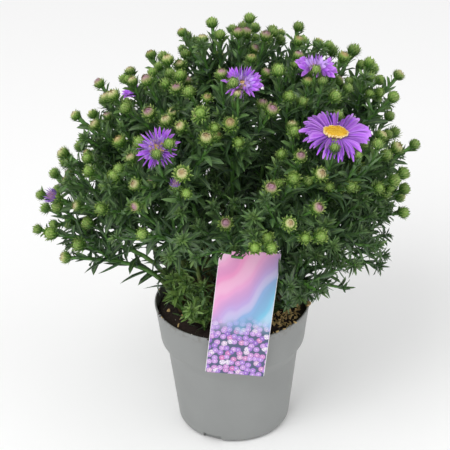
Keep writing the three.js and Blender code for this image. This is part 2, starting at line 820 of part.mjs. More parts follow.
// A twig turns round its spray until it is clear of what has already grown.
function placeTwigs(spray) {
  const twigs = [];
  for (let j = 0; j < TWIG.perSpray; j++) {
    for (let attempt = 0; attempt < TWIG.tries; attempt++) {
      const twig = growTwig(spray, j, attempt);
      const low = twig.curve.getPoint(TWIG.lowPlace);
      const high = twig.curve.getPoint(TWIG.highPlace);
      const [at, top] = budAxis(twig.end, twig.heading);
      const fits =
        clearOfPlant(spray.index, undefined, low, high, TWIG.radius) &&
        clearOfPlant(spray.index, undefined, high, at, TWIG.radius) &&
        clearOfPlant(spray.index, `twig-${j}`, at, top, BUD.radius * BUD.bractReach) &&
        clearOfHolder(low, top, BUD.radius) &&
        inCrown(twig.end);
      if (!fits) continue;
      occupyCurve(spray.index, j + 1, twig.curve, 3, () => TWIG.radius);
      occupy(spray.index, "bud", at, top, BUD.radius * BUD.bractReach);
      twigs.push(twig);
      break;
    }
  }
  return twigs;
}

function occupyBloom(spray, bloom) {
  const across = spray.side.clone().addScaledVector(spray.end, -spray.side.dot(spray.end));
  const over = spray.end.clone().cross(across.normalize());
  const { diameter } = bloom;
  const petalHeight = BUD.height * BUD.cup * cupScale(bloom) + (diameter / 2) * PETAL.lift;
  const centre = spray.tip.clone().addScaledVector(spray.end, petalHeight);
  for (const turn of evenly(8, 0, Math.PI)) {
    const out = across.clone().multiplyScalar(Math.cos(turn)).addScaledVector(over, Math.sin(turn));
    const one = centre.clone().addScaledVector(out, diameter / 2);
    const other = centre.clone().addScaledVector(out, -diameter / 2);
    occupy(`bloom-${spray.index}`, "rays", one, other, PETAL.room);
  }
}

// One leafy stem: the main stem and its twigs, each ending in a bud or a tuft, and its leaves.
function stemSolid(spray, twigs) {
  const path = { curve: spray.curve, side: spray.side };
  const limbs = [{ ...path, end: spray.tip, heading: spray.end }, ...twigs];
  const bloom = BLOOMS[spray.index];
  const leafy = spray.leafy && !bloom;
  const solids = limbs.map((limb, j) => {
    const rings = j
      ? stemRings(limb, () => TWIG.radius, TWIG.sides, TWIG.joints)
      : stemRings(limb, stemRadius, STEM.sides, STEM.joints);
    const opened = Boolean(bloom) && j === 0;
    const grown = BUD.sizeLeast + BUD.sizeSpan * chance(spray.index, j, 5);
    const scale = opened ? cupScale(bloom) : grown;
    if (!leafy) rings.push(...budRings(limb, scale, opened));
    return solidOf(loft(rings));
  });
  if (leafy) {
    limbs.forEach((limb, j) => {
      const places = evenly(TUFT.leaves, TUFT.start, 1);
      growLeaves(spray.index, j, limb, places, TUFT.length, TUFT.width, solids);
    });
  }
  limbs.forEach((limb, j) => {
    const places = j
      ? evenly(LEAF.perTwig, ...LEAF.alongTwig)
      : evenly(LEAF.perSpray, ...LEAF.alongStem);
    const share = j ? LEAF.twigShare : 1;
    growLeaves(spray.index, j, limb, places, LEAF.length * share, LEAF.width * share, solids);
  });
  return fuse(solids);
}

function makePlant(group, holes) {
  const sprays = allSprays();
  for (const spray of sprays) {
    occupyCurve(spray.index, 0, spray.curve, 8, stemRadius);
    occupy(spray.index, "bud", ...budAxis(spray.tip, spray.end), BUD.radius * BUD.bractReach);
    if (BLOOMS[spray.index]) occupyBloom(spray, BLOOMS[spray.index]);
  }
  const twigsOf = sprays.map(placeTwigs);
  for (const spray of sprays) {
    const path = { curve: spray.curve, side: spray.side };
    holes.push(soilHole(path, stemRadius, STEM.sides, STEM.joints));
    const name = `leafy_stem_${String(spray.index + 1).padStart(2, "0")}`;
    const solid = stemSolid(spray, twigsOf[spray.index]);
    group.add(meshOf(name, solid, MATERIALS.foliage));
  }
  BLOOMS.forEach((bloom, i) => {
    const { rays, disc } = bloomSolids(sprays[i], bloom);
    group.add(meshOf(`bloom_${i + 1}_rays`, rays, MATERIALS.ray));
    group.add(meshOf(`bloom_${i + 1}_disc`, disc, MATERIALS.disc));
  });
}

// Short leafy shoots from the plant's foot, which fill the gap between the crown and the rim.
function shootPath(i) {
  const azimuth = radians(SHOOT.azimuths[i]);
  const out = new THREE.Vector3(Math.cos(azimuth), Math.sin(azimuth), 0);
  const foot = out.clone().multiplyScalar(SHOOT.ringRadius);
  foot.z = SOIL.edgeHeight - CROWN.rootDepth;
  const tip = foot.clone().addScaledVector(out, SHOOT.reach);
  const grown = SHOOT.heightLeast + SHOOT.heightSpan * chance(i, 21);
  tip.z = SOIL.edgeHeight + SHOOT.height * grown;
  const bend = foot.clone().setZ(lerp(foot.z, tip.z, SHOOT.bendAt));
  const curve = new THREE.QuadraticBezierCurve3(foot, bend, tip);
  return { curve, side: new THREE.Vector3(-out.y, out.x, 0) };
}

function makeShoots(group, holes) {
  SHOOT.azimuths.forEach((_, i) => {
    const path = shootPath(i);
    const owner = 100 + i;
    const radiusAt = (t) => lerp(SHOOT.footRadius, SHOOT.tipRadius, t);
    occupyCurve(owner, 0, path.curve, 2, radiusAt);
    const solids = [solidOf(loft(stemRings(path, radiusAt, STEM.sides, SHOOT.joints)))];
    const places = evenly(SHOOT.leaves, SHOOT.leafStart, 1);
    growLeaves(owner, 0, path, places, SHOOT.leafLength, TUFT.width, solids);
    holes.push(soilHole(path, radiusAt, STEM.sides, SHOOT.joints));
    group.add(meshOf(`basal_shoot_${i + 1}`, fuse(solids), MATERIALS.foliage));
  });
}

// The slot in the soil that the label's tongue stands in.
function tongueSlot() {
  const t = LABEL.thickness;
  const block = new THREE.BoxGeometry(
    LABEL.tongueWidth + 4 * GAP,
    t + 2 * GAP,
    2 * (LABEL.tongueDepth + GAP),
  );
  block.translate(0, LABEL.tongueReach + t / 2, RIM_ON_LABEL).applyMatrix4(labelFrame());
  return solidOf(block);
}

const pottedAster = new THREE.Group();
const plant = new THREE.Group();
const holder = new THREE.Group();
pottedAster.add(plant, holder);
const holes = [tongueSlot()];
makePlant(plant, holes);
makeShoots(plant, holes);
holder.add(meshOf("pot", makePot(), MATERIALS.pot));
holder.add(meshOf("soil", makeSoil(holes), MATERIALS.soil));
holder.add(meshOf("label", makeLabel(), MATERIALS.label));
export default pottedAster;
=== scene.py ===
"""A potted cushion aster: leafy stems, buds, daisies, pot, soil and label, dressed over a fixed model.

The file is laid out as an add-on and run as a script. The fixed model gives every place and size.
The plant grows here by the same rule as in the model, with more twigs, leaves and scales.
"""
import json
from collections import namedtuple
from contextlib import contextmanager
from math import asin, cos, degrees, exp, hypot, pi, radians, sin, sqrt
from types import SimpleNamespace as Record

import bmesh
import bpy
import numpy as np
from bpy.props import FloatProperty, FloatVectorProperty, IntProperty, PointerProperty
from mathutils import Matrix, Vector, kdtree, noise

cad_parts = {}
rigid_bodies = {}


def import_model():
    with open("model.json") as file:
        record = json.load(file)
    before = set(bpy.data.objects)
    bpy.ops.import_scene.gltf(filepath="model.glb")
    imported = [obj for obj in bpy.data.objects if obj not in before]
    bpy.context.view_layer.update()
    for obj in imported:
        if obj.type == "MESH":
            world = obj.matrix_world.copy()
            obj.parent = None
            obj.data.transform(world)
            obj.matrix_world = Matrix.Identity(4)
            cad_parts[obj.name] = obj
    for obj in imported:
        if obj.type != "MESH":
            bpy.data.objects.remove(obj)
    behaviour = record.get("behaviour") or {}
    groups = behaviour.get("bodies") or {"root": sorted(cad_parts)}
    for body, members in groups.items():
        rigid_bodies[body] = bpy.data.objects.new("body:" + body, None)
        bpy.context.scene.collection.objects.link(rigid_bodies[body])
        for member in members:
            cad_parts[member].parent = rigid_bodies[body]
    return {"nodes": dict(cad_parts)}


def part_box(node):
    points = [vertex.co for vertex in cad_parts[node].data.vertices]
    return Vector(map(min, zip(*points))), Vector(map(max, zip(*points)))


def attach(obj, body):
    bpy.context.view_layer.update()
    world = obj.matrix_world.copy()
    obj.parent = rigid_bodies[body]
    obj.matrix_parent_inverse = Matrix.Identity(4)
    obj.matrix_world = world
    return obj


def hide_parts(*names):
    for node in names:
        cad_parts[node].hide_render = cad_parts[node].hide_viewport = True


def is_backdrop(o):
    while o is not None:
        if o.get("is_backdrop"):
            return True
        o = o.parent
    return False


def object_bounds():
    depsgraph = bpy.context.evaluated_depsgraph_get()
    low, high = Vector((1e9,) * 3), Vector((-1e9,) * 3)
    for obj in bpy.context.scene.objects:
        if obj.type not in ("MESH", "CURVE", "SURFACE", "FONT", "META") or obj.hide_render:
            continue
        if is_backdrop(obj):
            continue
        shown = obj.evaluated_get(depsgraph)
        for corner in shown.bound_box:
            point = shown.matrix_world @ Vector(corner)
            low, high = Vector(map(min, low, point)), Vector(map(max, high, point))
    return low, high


bl_info = {
    "name": "Potted Cushion Aster",
    "version": (1, 0, 0),
    "blender": (4, 5, 0),
    "location": "3D View > Sidebar > Aster",
    "description": "Dresses a potted cushion aster with fine leaves, buds, daisies, soil and a label",
    "category": "Object",
}

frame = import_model()
NODES = frame["nodes"]
CAD_LOW, CAD_HIGH = (Vector(corner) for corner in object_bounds())

MM = 0.001
UP = Vector((0, 0, 1))
GOLDEN_ANGLE = pi * (3 - sqrt(5))
WORD = 0xFFFFFFFF
ROOT_BODY = "root"

# The pot's and the label's places, read from the fixed model or repeated from its sizes.
POT_LOW, POT_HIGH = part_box("pot")
RIM_RADIUS = (POT_HIGH.x - POT_LOW.x) / 2
POT_HEIGHT = POT_HIGH.z
COLLAR_HEIGHT = 31 * MM
COLLAR_FOOT_RADIUS = 56 * MM
SHOULDER_HEIGHT = 10 * MM
BODY_TOP_RADIUS = 50.8 * MM
FOOT_RADIUS = 44 * MM
COLLAR_FOOT = POT_HEIGHT - COLLAR_HEIGHT
SHOULDER = COLLAR_FOOT - SHOULDER_HEIGHT
FOOT_ROUND = 6 * MM
WALL = 1.4 * MM
POT_WALL_STEPS = (0.03, 0.2, 0.5, 0.8, 0.985)
NOTCH_AZIMUTH = radians(-114)
SOIL_EDGE = 99 * MM
SOIL_MOUND = 5 * MM
LABEL_WIDTH = 44 * MM
LABEL_LENGTH = 106 * MM
LABEL_THICKNESS = 0.8 * MM
LABEL_CORNER = 0.8 * MM
LABEL_BOTTOM = 77 * MM
LABEL_LEAN = radians(7)
LABEL_OVERLAP = 6 * MM
LABEL_SIGHT = 0.5
LABEL_BACK_ROOM = 1 * MM
TONGUE_WIDTH = 14 * MM
TONGUE_REACH = 8 * MM
TONGUE_DEPTH = 20 * MM
RIM_CLEARANCE = 1.3 * MM
GAP = 0.35 * MM
CAMERA_PLACE = Vector((-4.5, -991, 711)) * MM
CAMERA_LENS = 120.0
LIGHT_AIM = Vector((0, 0, 0.15))
FLOOR_REACH = 8.0

# The growth rule of the crown, as in the fixed model.
CROWN = Record(
    centre=Vector((4, 0, 191)) * MM,
    radii=Vector((117, 117, 124)) * MM,
    lowest=radians(-15),
    brim=1.03,
    sprays=35,
    first_azimuth=25,
    reach_least=0.95,
    reach_span=0.08,
    clear_angle=radians(19),
    foot_spread=38 * MM,
    root_depth=15 * MM,
    first_rise=0.58,
    last_rise=0.3,
    outward_lean=0.12,
    upturn=0.45,
)
LOBES = ((-172, 0, 22, 0.2), (8, 33, 26, 0.15), (60, 65, 26, 0.05))
LEAFY_SIDE = (-38, -16, 36)
LABEL_SIDE = (-90, 0, 45)
LABEL_SIDE_LIFT = 0.8
OPEN_SIDE = (-125, -35, 40)
BARK_SPOT = Vector((44, -26)) * MM
BARK_SIGHT = 20 * MM
LOW_SIDE = 46 * MM
LOW_EDGE = Record(height=82 * MM, by_side=0.35, by_front=0.6)
# How a kind of limb grows: the radii of its foot and tip, its steps, how woody its foot is, and the
# share of it that bears leaves.
LimbKind = namedtuple("LimbKind", "foot tip steps age leafy")
MAIN_STEM = LimbKind(2 * MM, 1.3 * MM, 12, 1.0, 0.74)
LONG_TWIG = LimbKind(1.15 * MM, 0.95 * MM, 7, 0.0, 0.94)
BLOOM_TWIG = LimbKind(1 * MM, 0.85 * MM, 6, 0.0, 0.8)
SIDE_TWIG = LimbKind(0.9 * MM, 0.8 * MM, 4, 0.0, 0.8)
INNER_SHOOT = LimbKind(0.9 * MM, 0.6 * MM, 4, 0.0, 0.9)
BASAL_SHOOT = LimbKind(1.3 * MM, 0.8 * MM, 6, 0.5, 0.6)
BARE_SHOOT = BASAL_SHOOT._replace(leafy=0.2)
SPROUT = LimbKind(0.9 * MM, 0.7 * MM, 4, 0.2, 0.8)
# Where the numbers of three groups of small limbs start on a stem, and the seeds of other pieces.
SIDE_LIMBS = 20
BLOOM_LIMBS = 40
INNER_LIMBS = 60
SHOOT_SEED = 100
RAY_SEED = 200
FLORET_SEED = 300
TWIG = Record(
    modelled=3,
    spacing=25 * MM,
    drop_least=3 * MM,
    drop_span=9 * MM,
    root_least=0.62,
    root_span=0.13,
    splay=0.35,
    bend=0.55,
    radius=1 * MM,
    sides=3,
    tries=8,
)
SHOOT_AZIMUTHS = (-150, -120, -50, -20, 12, 62, 112, 176)
SHOOT_RING = 41 * MM
SHOOT_REACH = 8 * MM
SHOOT_HEIGHT = 26 * MM
BUD_RADIUS = 4.3 * MM
BUD_HEIGHT = 8.5 * MM
BUD_CUP = 0.6
CUP_SCALE_DIAMETER = 31 * MM
BLOOM_SCALE_DIAMETER = 32 * MM
HUB_RADIUS = 5.2 * MM
HUB_GROWTH = 1.35
HUB_MARGIN = 0.6 * MM
HUB_HEIGHT = 1.5 * MM
DISC_SHARE = 0.86
DISC_HEIGHT = 2.4 * MM

# The open blooms: azimuth, elevation, diameter, the way each looks, how far its rays stand up, how
# far those at the front hang, and how many short rays stand round the disc.
Bloom = namedtuple("Bloom", "azimuth elevation diameter face stand droop inner")
BLOOMS = (
    Bloom(-45, 37, 48 * MM, (0.1, -0.04, 1), 18, 42, 0),
    Bloom(-124, 39, 32 * MM, (-0.3, -0.75, 0.8), 20, 10, 34),
    Bloom(-86, 63, 32 * MM, (0.15, -0.3, 1), 34, 10, 28),
    Bloom(-27, 59, 32 * MM, (0.1, 0.1, 1), 30, 10, 24),
    Bloom(60, 26, 42 * MM, (0.25, 0.45, 1), 12, 30, 0),
    Bloom(130, 22, 32 * MM, (-0.4, 0.4, 1), 26, 12, 10),
)
# Buds that stand by a bloom: the bloom, their place from its middle in millimetres, and their kind.
ATTENDANTS = (
    (0, (-2, -17, -3.4), 1), (0, (14.4, -13, -11.2), 2), (0, (28.4, -4.3, -7.9), 0),
    (1, (-0.5, -11, -1.5), 1), (1, (8, -7, 3.8), 0), (1, (11.7, -14, -23.8), 9),
    (2, (-5.7, -6.8, 2.1), 0), (2, (-2.8, -9.3, -4.5), 4), (2, (-13.3, 3, 5.5), 6),
    (3, (-0.5, -8.7, 0.7), 0), (3, (4.2, -10.3, -6.3), 2), (3, (-5.7, -8.5, -7.3), 7),
)
# The stems that give the crown its outline from the front: azimuth, elevation and reach.
OUTLINE_SPRAYS = (
    (-166, -12, 0.97), (-170, -3, 1.04), (-175, 5, 1.02), (178, 16, 1), (172, 27, 1.08), (165, 38, 1.08),
    (147, 53, 1), (108, 67, 1.02), (75, 68, 1.02), (42, 60, 1.02), (21, 46, 1.02), (11, 34, 1.08),
    (0, 17, 1.05), (-5, 5, 1), (-12, -7, 0.97),
)

# The kinds of point in a growing mesh.
STEM_KIND = 0
LEAF_KIND = 1
BUD_KIND = 2

# The least and the most distance from leaf to leaf on a limb, in millimetres.
LEAF_GAP = (1.15, 3.3)
LEAF_TRIES = 5


def rgb(code):
    """A colour written as six hex digits, as the linear colour that shaders use."""
    def linear(channel):
        return channel / 12.92 if channel <= 0.04045 else ((channel + 0.055) / 1.055) ** 2.4
    return tuple(linear(int(code[i:i + 2], 16) / 255) for i in (0, 2, 4)) + (1.0,)


def lerp(a, b, t):
    return a + (b - a) * t


def smooth(t):
    """Eases from 0 to 1."""
    t = min(1.0, max(0.0, t))
    return t * t * (3 - 2 * t)


def chance(a, b=0, c=0):
    """A seeded random number from 0 to 1."""
    h = (a * 374761393 + b * 668265263 + c * 2147483647 + 97) & WORD
    h = ((h ^ (h >> 13)) * 1274126177) & WORD
    h = ((h ^ (h >> 16)) * 2246822519) & WORD
    return (h ^ (h >> 15)) / (WORD + 1)


def number(name, description, default, kind=FloatProperty, least=0, **more):
    return kind(name=name, description=description, default=default, min=least, **more)


def length(name, description, default):
    return number(name, description, default, subtype="DISTANCE", unit="LENGTH")


def factor(name, description, default, high=1.0):
    return number(name, description, default, max=high, subtype="FACTOR")


def angle(name, description, default):
    return number(name, description, radians(default), least=-pi, subtype="ANGLE", unit="ROTATION")


def tint(name, description, code):
    return number(name, description, rgb(code), FloatVectorProperty, size=4, max=1, subtype="COLOR")


class AsterPotSettings(bpy.types.PropertyGroup):
    """Sizes and colours of the pot."""

    lip: length("Lip", "Height of the rolled lip at the rim", 1.6 * MM)
    notch_width: length("Notch width", "Width of the notches in the foot", 15 * MM)
    notch_height: length("Notch height", "Height of the notches in the foot", 6 * MM)
    drain_radius: length("Drain radius", "Radius of the drain holes", 3.5 * MM)
    sides: number("Sides", "Facets round the pot", 144, IntProperty, 24)
    colour: tint("Plastic", "Colour of the pot", "8b8d8c")
    dirt: tint("Dirt", "Colour of the soil dust at the rim", "5b4c3f")


class AsterSoilSettings(bpy.types.PropertyGroup):
    """Sizes, amounts and colours of the soil."""

    peat: length("Peat crumb", "Size of a peat crumb", 1.25 * MM)
    bark: length("Bark piece", "Size of a piece of bark", 3.8 * MM)
    perlite: length("Perlite grain", "Size of a grain of perlite", 0.8 * MM)
    peat_density: number("Peat density", "Peat crumbs per square metre", 230000.0)
    bark_density: number("Bark density", "Bark pieces per square metre", 42000.0)
    perlite_density: number("Perlite density", "Grains per square metre", 4500.0)
    peat_colour: tint("Peat", "Colour of the peat", "2a1d16")
    bark_colour: tint("Bark", "Colour of the bark pieces", "d0b27a")
    perlite_colour: tint("Perlite", "Colour of the perlite", "e6e1d6")


class AsterLabelSettings(bpy.types.PropertyGroup):
    """Sizes and colours of the label and its plain print."""

    bow: length("Bow", "How far the card bows across its width", 0.45 * MM)
    dot: length("Dot", "Spacing of the printed dots", 4.3 * MM)
    card: tint("Card", "Colour of the bare plastic", "f3f1f4")
    warm: tint("Warm", "Left colour of the blend", "f08cc6")
    middle: tint("Middle", "Middle colour of the blend", "c9a6df")
    cool: tint("Cool", "Right colour of the blend", "5fb9dc")
    ground: tint("Ground", "Colour between the dots", "4a5675")


class AsterPlantSettings(bpy.types.PropertyGroup):
    """Amounts, sizes and colours of the stems, leaves and buds."""

    twigs: number("Twigs", "Side twigs on a leafy stem", 7, IntProperty, 2)
    inner_shoots: number("Inner shoots", "Leafy shoots low on a stem", 8, IntProperty)
    twig_gap: length("Twig gap", "Least distance between two tips", 13.5 * MM)
    side_bud_share: factor("Side buds", "Share of twigs with a side bud", 0.6)
    leaf_width: factor("Leaf width", "Scale of the leaves' width", 1.0, 3.0)
    leaf_length: factor("Leaf length", "Scale of the leaves' length", 1.0, 3.0)
    bud_size: factor("Bud size", "Scale of the buds", 1.0, 3.0)
    stem_sides: number("Stem sides", "Facets round a stem", 7, IntProperty, 3)
    # The dark leaf colour is also painted shade: leaves low and deep in the crown get a low tone, which leans
    # to it.
    leaf_dark: tint("Dark leaf", "Colour of an old leaf", "1a3116")
    leaf_mid: tint("Mid leaf", "Colour of a grown leaf", "5b8345")
    leaf_young: tint("Young leaf", "Colour of a leaf at a tip", "7f9f48")
    leaf_under: tint("Leaf underside", "Colour of a leaf's lower face", "587852")
    stem_colour: tint("Stem", "Colour of a green stem", "5b8a3a")
    stem_old: tint("Old stem", "Colour of a stem's woody foot", "6b5138")


class AsterBloomSettings(bpy.types.PropertyGroup):
    """Amounts and colours of the daisies."""

    rays: number("Rays", "Rays of a layer in the widest bloom", 36, IntProperty, 8)
    ray_width: length("Ray width", "Width of a ray", 1.4 * MM)
    ray_colour: tint("Ray", "Colour of the rays", "b86ae2")
    ray_edge: tint("Ray edge", "Colour of the rays' tips and margins", "d6a2f2")
    ray_foot: tint("Ray foot", "Colour of the rays near the disc", "8a44c8")
    ray_inner: tint("Inner ray", "Colour of the short rays round the disc", "c9b0e6")
    disc_colour: tint("Disc", "Colour of the disc florets", "f6d038")
    disc_rim: tint("Disc rim", "Colour of the outermost florets", "f3dfa8")


class AsterStageSettings(bpy.types.PropertyGroup):
    """The floor, the light and the camera."""

    floor_colour: tint("Floor", "Colour of the floor", "fbfbfb")
    sky: number("Sky", "Strength of the light all round", 0.76)
    key: number("Key", "Power of the key light", 25.0, unit="POWER")
    fill: number("Fill", "Power of the fill light", 5.0, unit="POWER")
    tilt: angle("Tilt", "How far the camera looks down", 28.6)
    roll: angle("Roll", "Turn of the camera about its view", -1.1)


def add(tree, kind, links=None, **settings):
    """Adds a node, sets its properties and feeds its inputs."""
    made = tree.nodes.new(kind)
    for key, value in settings.items():
        setattr(made, key, value)
    feed(made, links or {})
    return made


def feed(node, links):
    """Links or fills the inputs of a node that are named."""
    for key, value in links.items():
        if isinstance(value, bpy.types.NodeSocket):
            node.id_data.links.new(value, node.inputs[key])
        else:
            node.inputs[key].default_value = value


def value_of(operation, *terms):
    """A math node's value."""
    return add(tree_of(*terms), "ShaderNodeMath", dict(enumerate(terms)), operation=operation).outputs[0]


def tree_of(*terms):
    """The tree that the first socket among some terms is in."""
    return next(term.id_data for term in terms if isinstance(term, bpy.types.NodeSocket))


def times(a, b):
    return value_of("MULTIPLY", a, b)


def times_plus(a, b, c):
    """The value a * b + c."""
    return value_of("MULTIPLY_ADD", a, b, c)


def mix(share, low, high):
    """A colour between two colours."""
    links = {0: share, 6: low, 7: high}
    return add(tree_of(*links.values()), "ShaderNodeMix", links, data_type="RGBA").outputs[2]


def attribute(tree, name, output="Fac"):
    """A mesh attribute in a shader."""
    return add(tree, "ShaderNodeAttribute", attribute_name=name).outputs[output]


def ease(value, low, high, to_low=0.0, to_high=1.0):
    """A value eased from one range to another."""
    links = {"Value": value, "From Min": low, "From Max": high, "To Min": to_low, "To Max": to_high}
    return add(value.id_data, "ShaderNodeMapRange", links, interpolation_type="SMOOTHSTEP").outputs[0]


def add_sockets(tree, way, *rows):
    """Gives a tree inputs or outputs: their name, kind and default."""
    for label, kind, *default in rows:
        socket = tree.interface.new_socket(label, in_out=way, socket_type="NodeSocket" + kind)
        if default:
            socket.default_value = default[0]


def effect_group(name, inputs, *outputs):
    """A shader node group with its input and output nodes."""
    tree = bpy.data.node_groups.new(name, "ShaderNodeTree")
    add_sockets(tree, "INPUT", *((label, "Float", default) for label, default in inputs.items()))
    add_sockets(tree, "OUTPUT", *((label, "Float") for label in outputs))
    return tree, add(tree, "NodeGroupInput"), add(tree, "NodeGroupOutput")


def cloud(tree, scale, detail):
    """Noise that follows the piece."""
    place = add(tree, "ShaderNodeTexCoord").outputs["Object"]
    return add(tree, "ShaderNodeTexNoise", {"Vector": place, "Scale": scale, "Detail": detail}).outputs["Fac"]


def mottle_group(name):
    """Soft blotches that follow the piece."""
    tree, given, result = effect_group(name, {"Scale": 80.0, "Contrast": 0.5}, "Mask")
    low = times(given.outputs[1], 0.5)
    high = value_of("SUBTRACT", 1.0, low)
    feed(result, {0: ease(cloud(tree, given.outputs[0], 4.0), low, high)})
    return tree


def grain_group(name):
    """A fine even grain, for relief."""
    tree, given, result = effect_group(name, {"Scale": 900.0}, "Height")
    feed(result, {0: cloud(tree, given.outputs[0], 2.0)})
    return tree


def vein_group(name):
    """A blade's midrib and side veins."""
    tree, given, result = effect_group(name, {"Rib": 0.2, "Count": 26.0}, "Rib", "Veins")
    along = attribute(tree, "along")
    across = value_of("ABSOLUTE", attribute(tree, "across"))
    rib = ease(across, 0.0, given.outputs[0], 1.0, 0.0)
    lag = value_of("SUBTRACT", times(along, 2.0), across)
    wave = value_of("SINE", times(lag, given.outputs[1]))
    feed(result, {0: rib, 1: times_plus(wave, 0.5, 0.5)})
    return tree


def shared(name, build):
    """A node tree that is built once."""
    return bpy.data.node_groups.get(name) or build(name)


def effect(tree, name, build, **inputs):
    """Places a shared effect in a material."""
    return add(tree, "ShaderNodeGroup", inputs, node_tree=shared(name, build)).outputs


def mottled(tree, scale, contrast):
    return effect(tree, "Mottle", mottle_group, Scale=scale, Contrast=contrast)["Mask"]


def new_material(name, roughness):
    """A material with its node tree and its Principled BSDF."""
    made = bpy.data.materials.new(name)
    made.use_nodes = True
    shader = made.node_tree.nodes["Principled BSDF"]
    feed(shader, {"Roughness": roughness})
    return made, made.node_tree, shader


def relief(shader, height, distance, strength):
    """Gives a shader a bump."""
    links = {"Height": height, "Distance": distance, "Strength": strength}
    feed(shader, {"Normal": add(shader.id_data, "ShaderNodeBump", links).outputs[0]})


def grained(shader, scale, distance, strength):
    """Gives a shader a fine even grain."""
    relief(shader, effect(shader.id_data, "Grain", grain_group, Scale=scale)["Height"], distance, strength)


def paint(shader, colour):
    feed(shader, {"Base Color": colour})


def leaf_material(name, plant, fresh):
    """Green blades, paler below and at the rib, and yellow-green where young. The tone carries painted shade
    low and deep in the crown, and a floor on the young share is painted light for the basal shoots in the
    crown's shade.
    """
    made, tree, shader = new_material(name, 0.46)
    mottle = mottled(tree, 160.0, 0.6)
    veins = effect(tree, "Veins", vein_group, Rib=0.22, Count=24.0)
    tone = times_plus(mottle, 0.35, times(attribute(tree, "tone"), 0.75))
    grown = mix(tone, plant.leaf_dark, plant.leaf_mid)
    young = value_of("MAXIMUM", attribute(tree, "young"), fresh)
    aged = mix(young, grown, plant.leaf_young)
    under = times(ease(attribute(tree, "under"), 0.0, 0.6), 0.55)
    faced = mix(under, aged, plant.leaf_under)
    ribbed = mix(times(veins["Rib"], 0.35), faced, rgb("8fb35c"))
    feed(shader, {"Base Color": ribbed, "Sheen Weight": 0.1, "Sheen Tint": rgb("a9c8d6")})
    relief(shader, value_of("ADD", veins["Rib"], times(veins["Veins"], 0.3)), 0.12 * MM, 0.5)
    return made


def stem_material(plant):
    """Green stems with a woody foot."""
    made, tree, shader = new_material("aster_stem", 0.55)
    green = mix(mottled(tree, 220.0, 0.5), rgb("3f6a2b"), plant.stem_colour)
    paint(shader, mix(attribute(tree, "young"), plant.stem_old, green))
    grained(shader, 700.0, 0.2 * MM, 0.4)
    return made


def bud_material():
    """Bud scales and petal tips, which carry their own colour."""
    made, tree, shader = new_material("aster_bud", 0.5)
    light = times_plus(mottled(tree, 420.0, 0.4), 0.22, 0.68)
    light = times_plus(attribute(tree, "tone"), 0.28, light)
    links = {"Value": light, "Color": attribute(tree, "tint", "Color")}
    paint(shader, add(tree, "ShaderNodeHueSaturation", links).outputs[0])
    grained(shader, 1500.0, 0.1 * MM, 0.35)
    return made


def ray_material(bloom):
    """Violet rays with fine streaks, deeper at the foot and paler at tips and margins. Each ray's tone sets
    its brightness: random, and darker layer by layer as painted shade.
    """
    made, tree, shader = new_material("aster_ray", 0.5)
    along = attribute(tree, "along")
    across = attribute(tree, "across")
    foot = mix(ease(along, 0.0, 0.45), bloom.ray_foot, bloom.ray_colour)
    edge = value_of("MAXIMUM", ease(along, 0.7, 1.0), ease(value_of("ABSOLUTE", across), 0.5, 1.0))
    pale = mix(times(edge, 0.6), foot, bloom.ray_edge)
    pale = mix(attribute(tree, "young"), pale, bloom.ray_inner)
    streak = value_of("SINE", times(across, 14.0))
    lined = mix(times_plus(streak, 0.08, 0.08), pale, bloom.ray_foot)
    light = times_plus(attribute(tree, "tone"), 0.6, 0.84)
    shift = add(tree, "ShaderNodeHueSaturation", {"Value": light, "Color": lined})
    feed(shader, {"Base Color": shift.outputs[0], "Sheen Weight": 0.15})
    relief(shader, streak, 0.08 * MM, 0.4)
    return made


def disc_material(bloom):
    """Golden florets with a pale ring at the disc's edge, darker down each floret's tube as painted shade and
    lighter at its top as painted light.
    """
    made, tree, shader = new_material("aster_disc", 0.6)
    # Painted light and shade with a little mottle: the share of the bright gold rises up each floret.
    mottle_and_painted_light = times_plus(mottled(tree, 900.0, 0.5), 0.3, ease(attribute(tree, "along"), 0.5, 0.95, 0.0, 0.7))
    deep = mix(mottle_and_painted_light, rgb("c58e1e"), bloom.disc_colour)
    paint(shader, mix(attribute(tree, "young"), deep, bloom.disc_rim))
    grained(shader, 2200.0, 0.1 * MM, 0.4)
    return made


def two_tone_material(name, roughness, scale, low, high):
    """Soft blotches of two colours."""
    made, tree, shader = new_material(name, roughness)
    paint(shader, mix(mottled(tree, scale, 0.5), low, high))
    return made


def skin(rings):
    """Faces of a closed skin over rings that run counter-clockwise."""
    starts = [0]
    for ring in rings:
        starts.append(starts[-1] + len(ring))
    faces = []
    for k in range(len(rings) - 1):
        a, b = starts[k], starts[k + 1]
        low, high = len(rings[k]), len(rings[k + 1])
        steps = max(low, high)
        for i in range(steps):
            j = (i + 1) % steps
            if low == 1:
                faces.append((a, b + j, b + i))
            elif high == 1:
                faces.append((a + i, a + j, b))
            else:
                faces.append((a + i, a + j, b + j, b + i))
    if len(rings[0]) > 1:
        faces.append(tuple(reversed(range(starts[1]))))
    if len(rings[-1]) > 1:
        faces.append(tuple(range(starts[-2], starts[-1])))
    return faces


class Shape:
    """A mesh put together from closed skins, with its attributes."""

    def __init__(self):
        self.points = []
        self.faces = []
        self.values = {}

    def add(self, rings, **values):
        """Adds a skin. Each value is one list for each ring's points, or one value for all."""
        start = len(self.points)
        self.faces += [tuple(start + i for i in face) for face in skin(rings)]
        for k, ring in enumerate(rings):
            for i, point in enumerate(ring):
                self.points.append(point)
                for key, value in values.items():
                    given = value[k] if isinstance(value, list) else value
                    given = given[i] if isinstance(given, list) else given
                    self.values.setdefault(key, []).append(given)
        return self

    def mesh(self, name):
        mesh = bpy.data.meshes.new(name)
        mesh.from_pydata([tuple(p) for p in self.points], [], self.faces)
        for key, values in self.values.items():
            store(mesh, key, values)
        mesh.update()
        return mesh


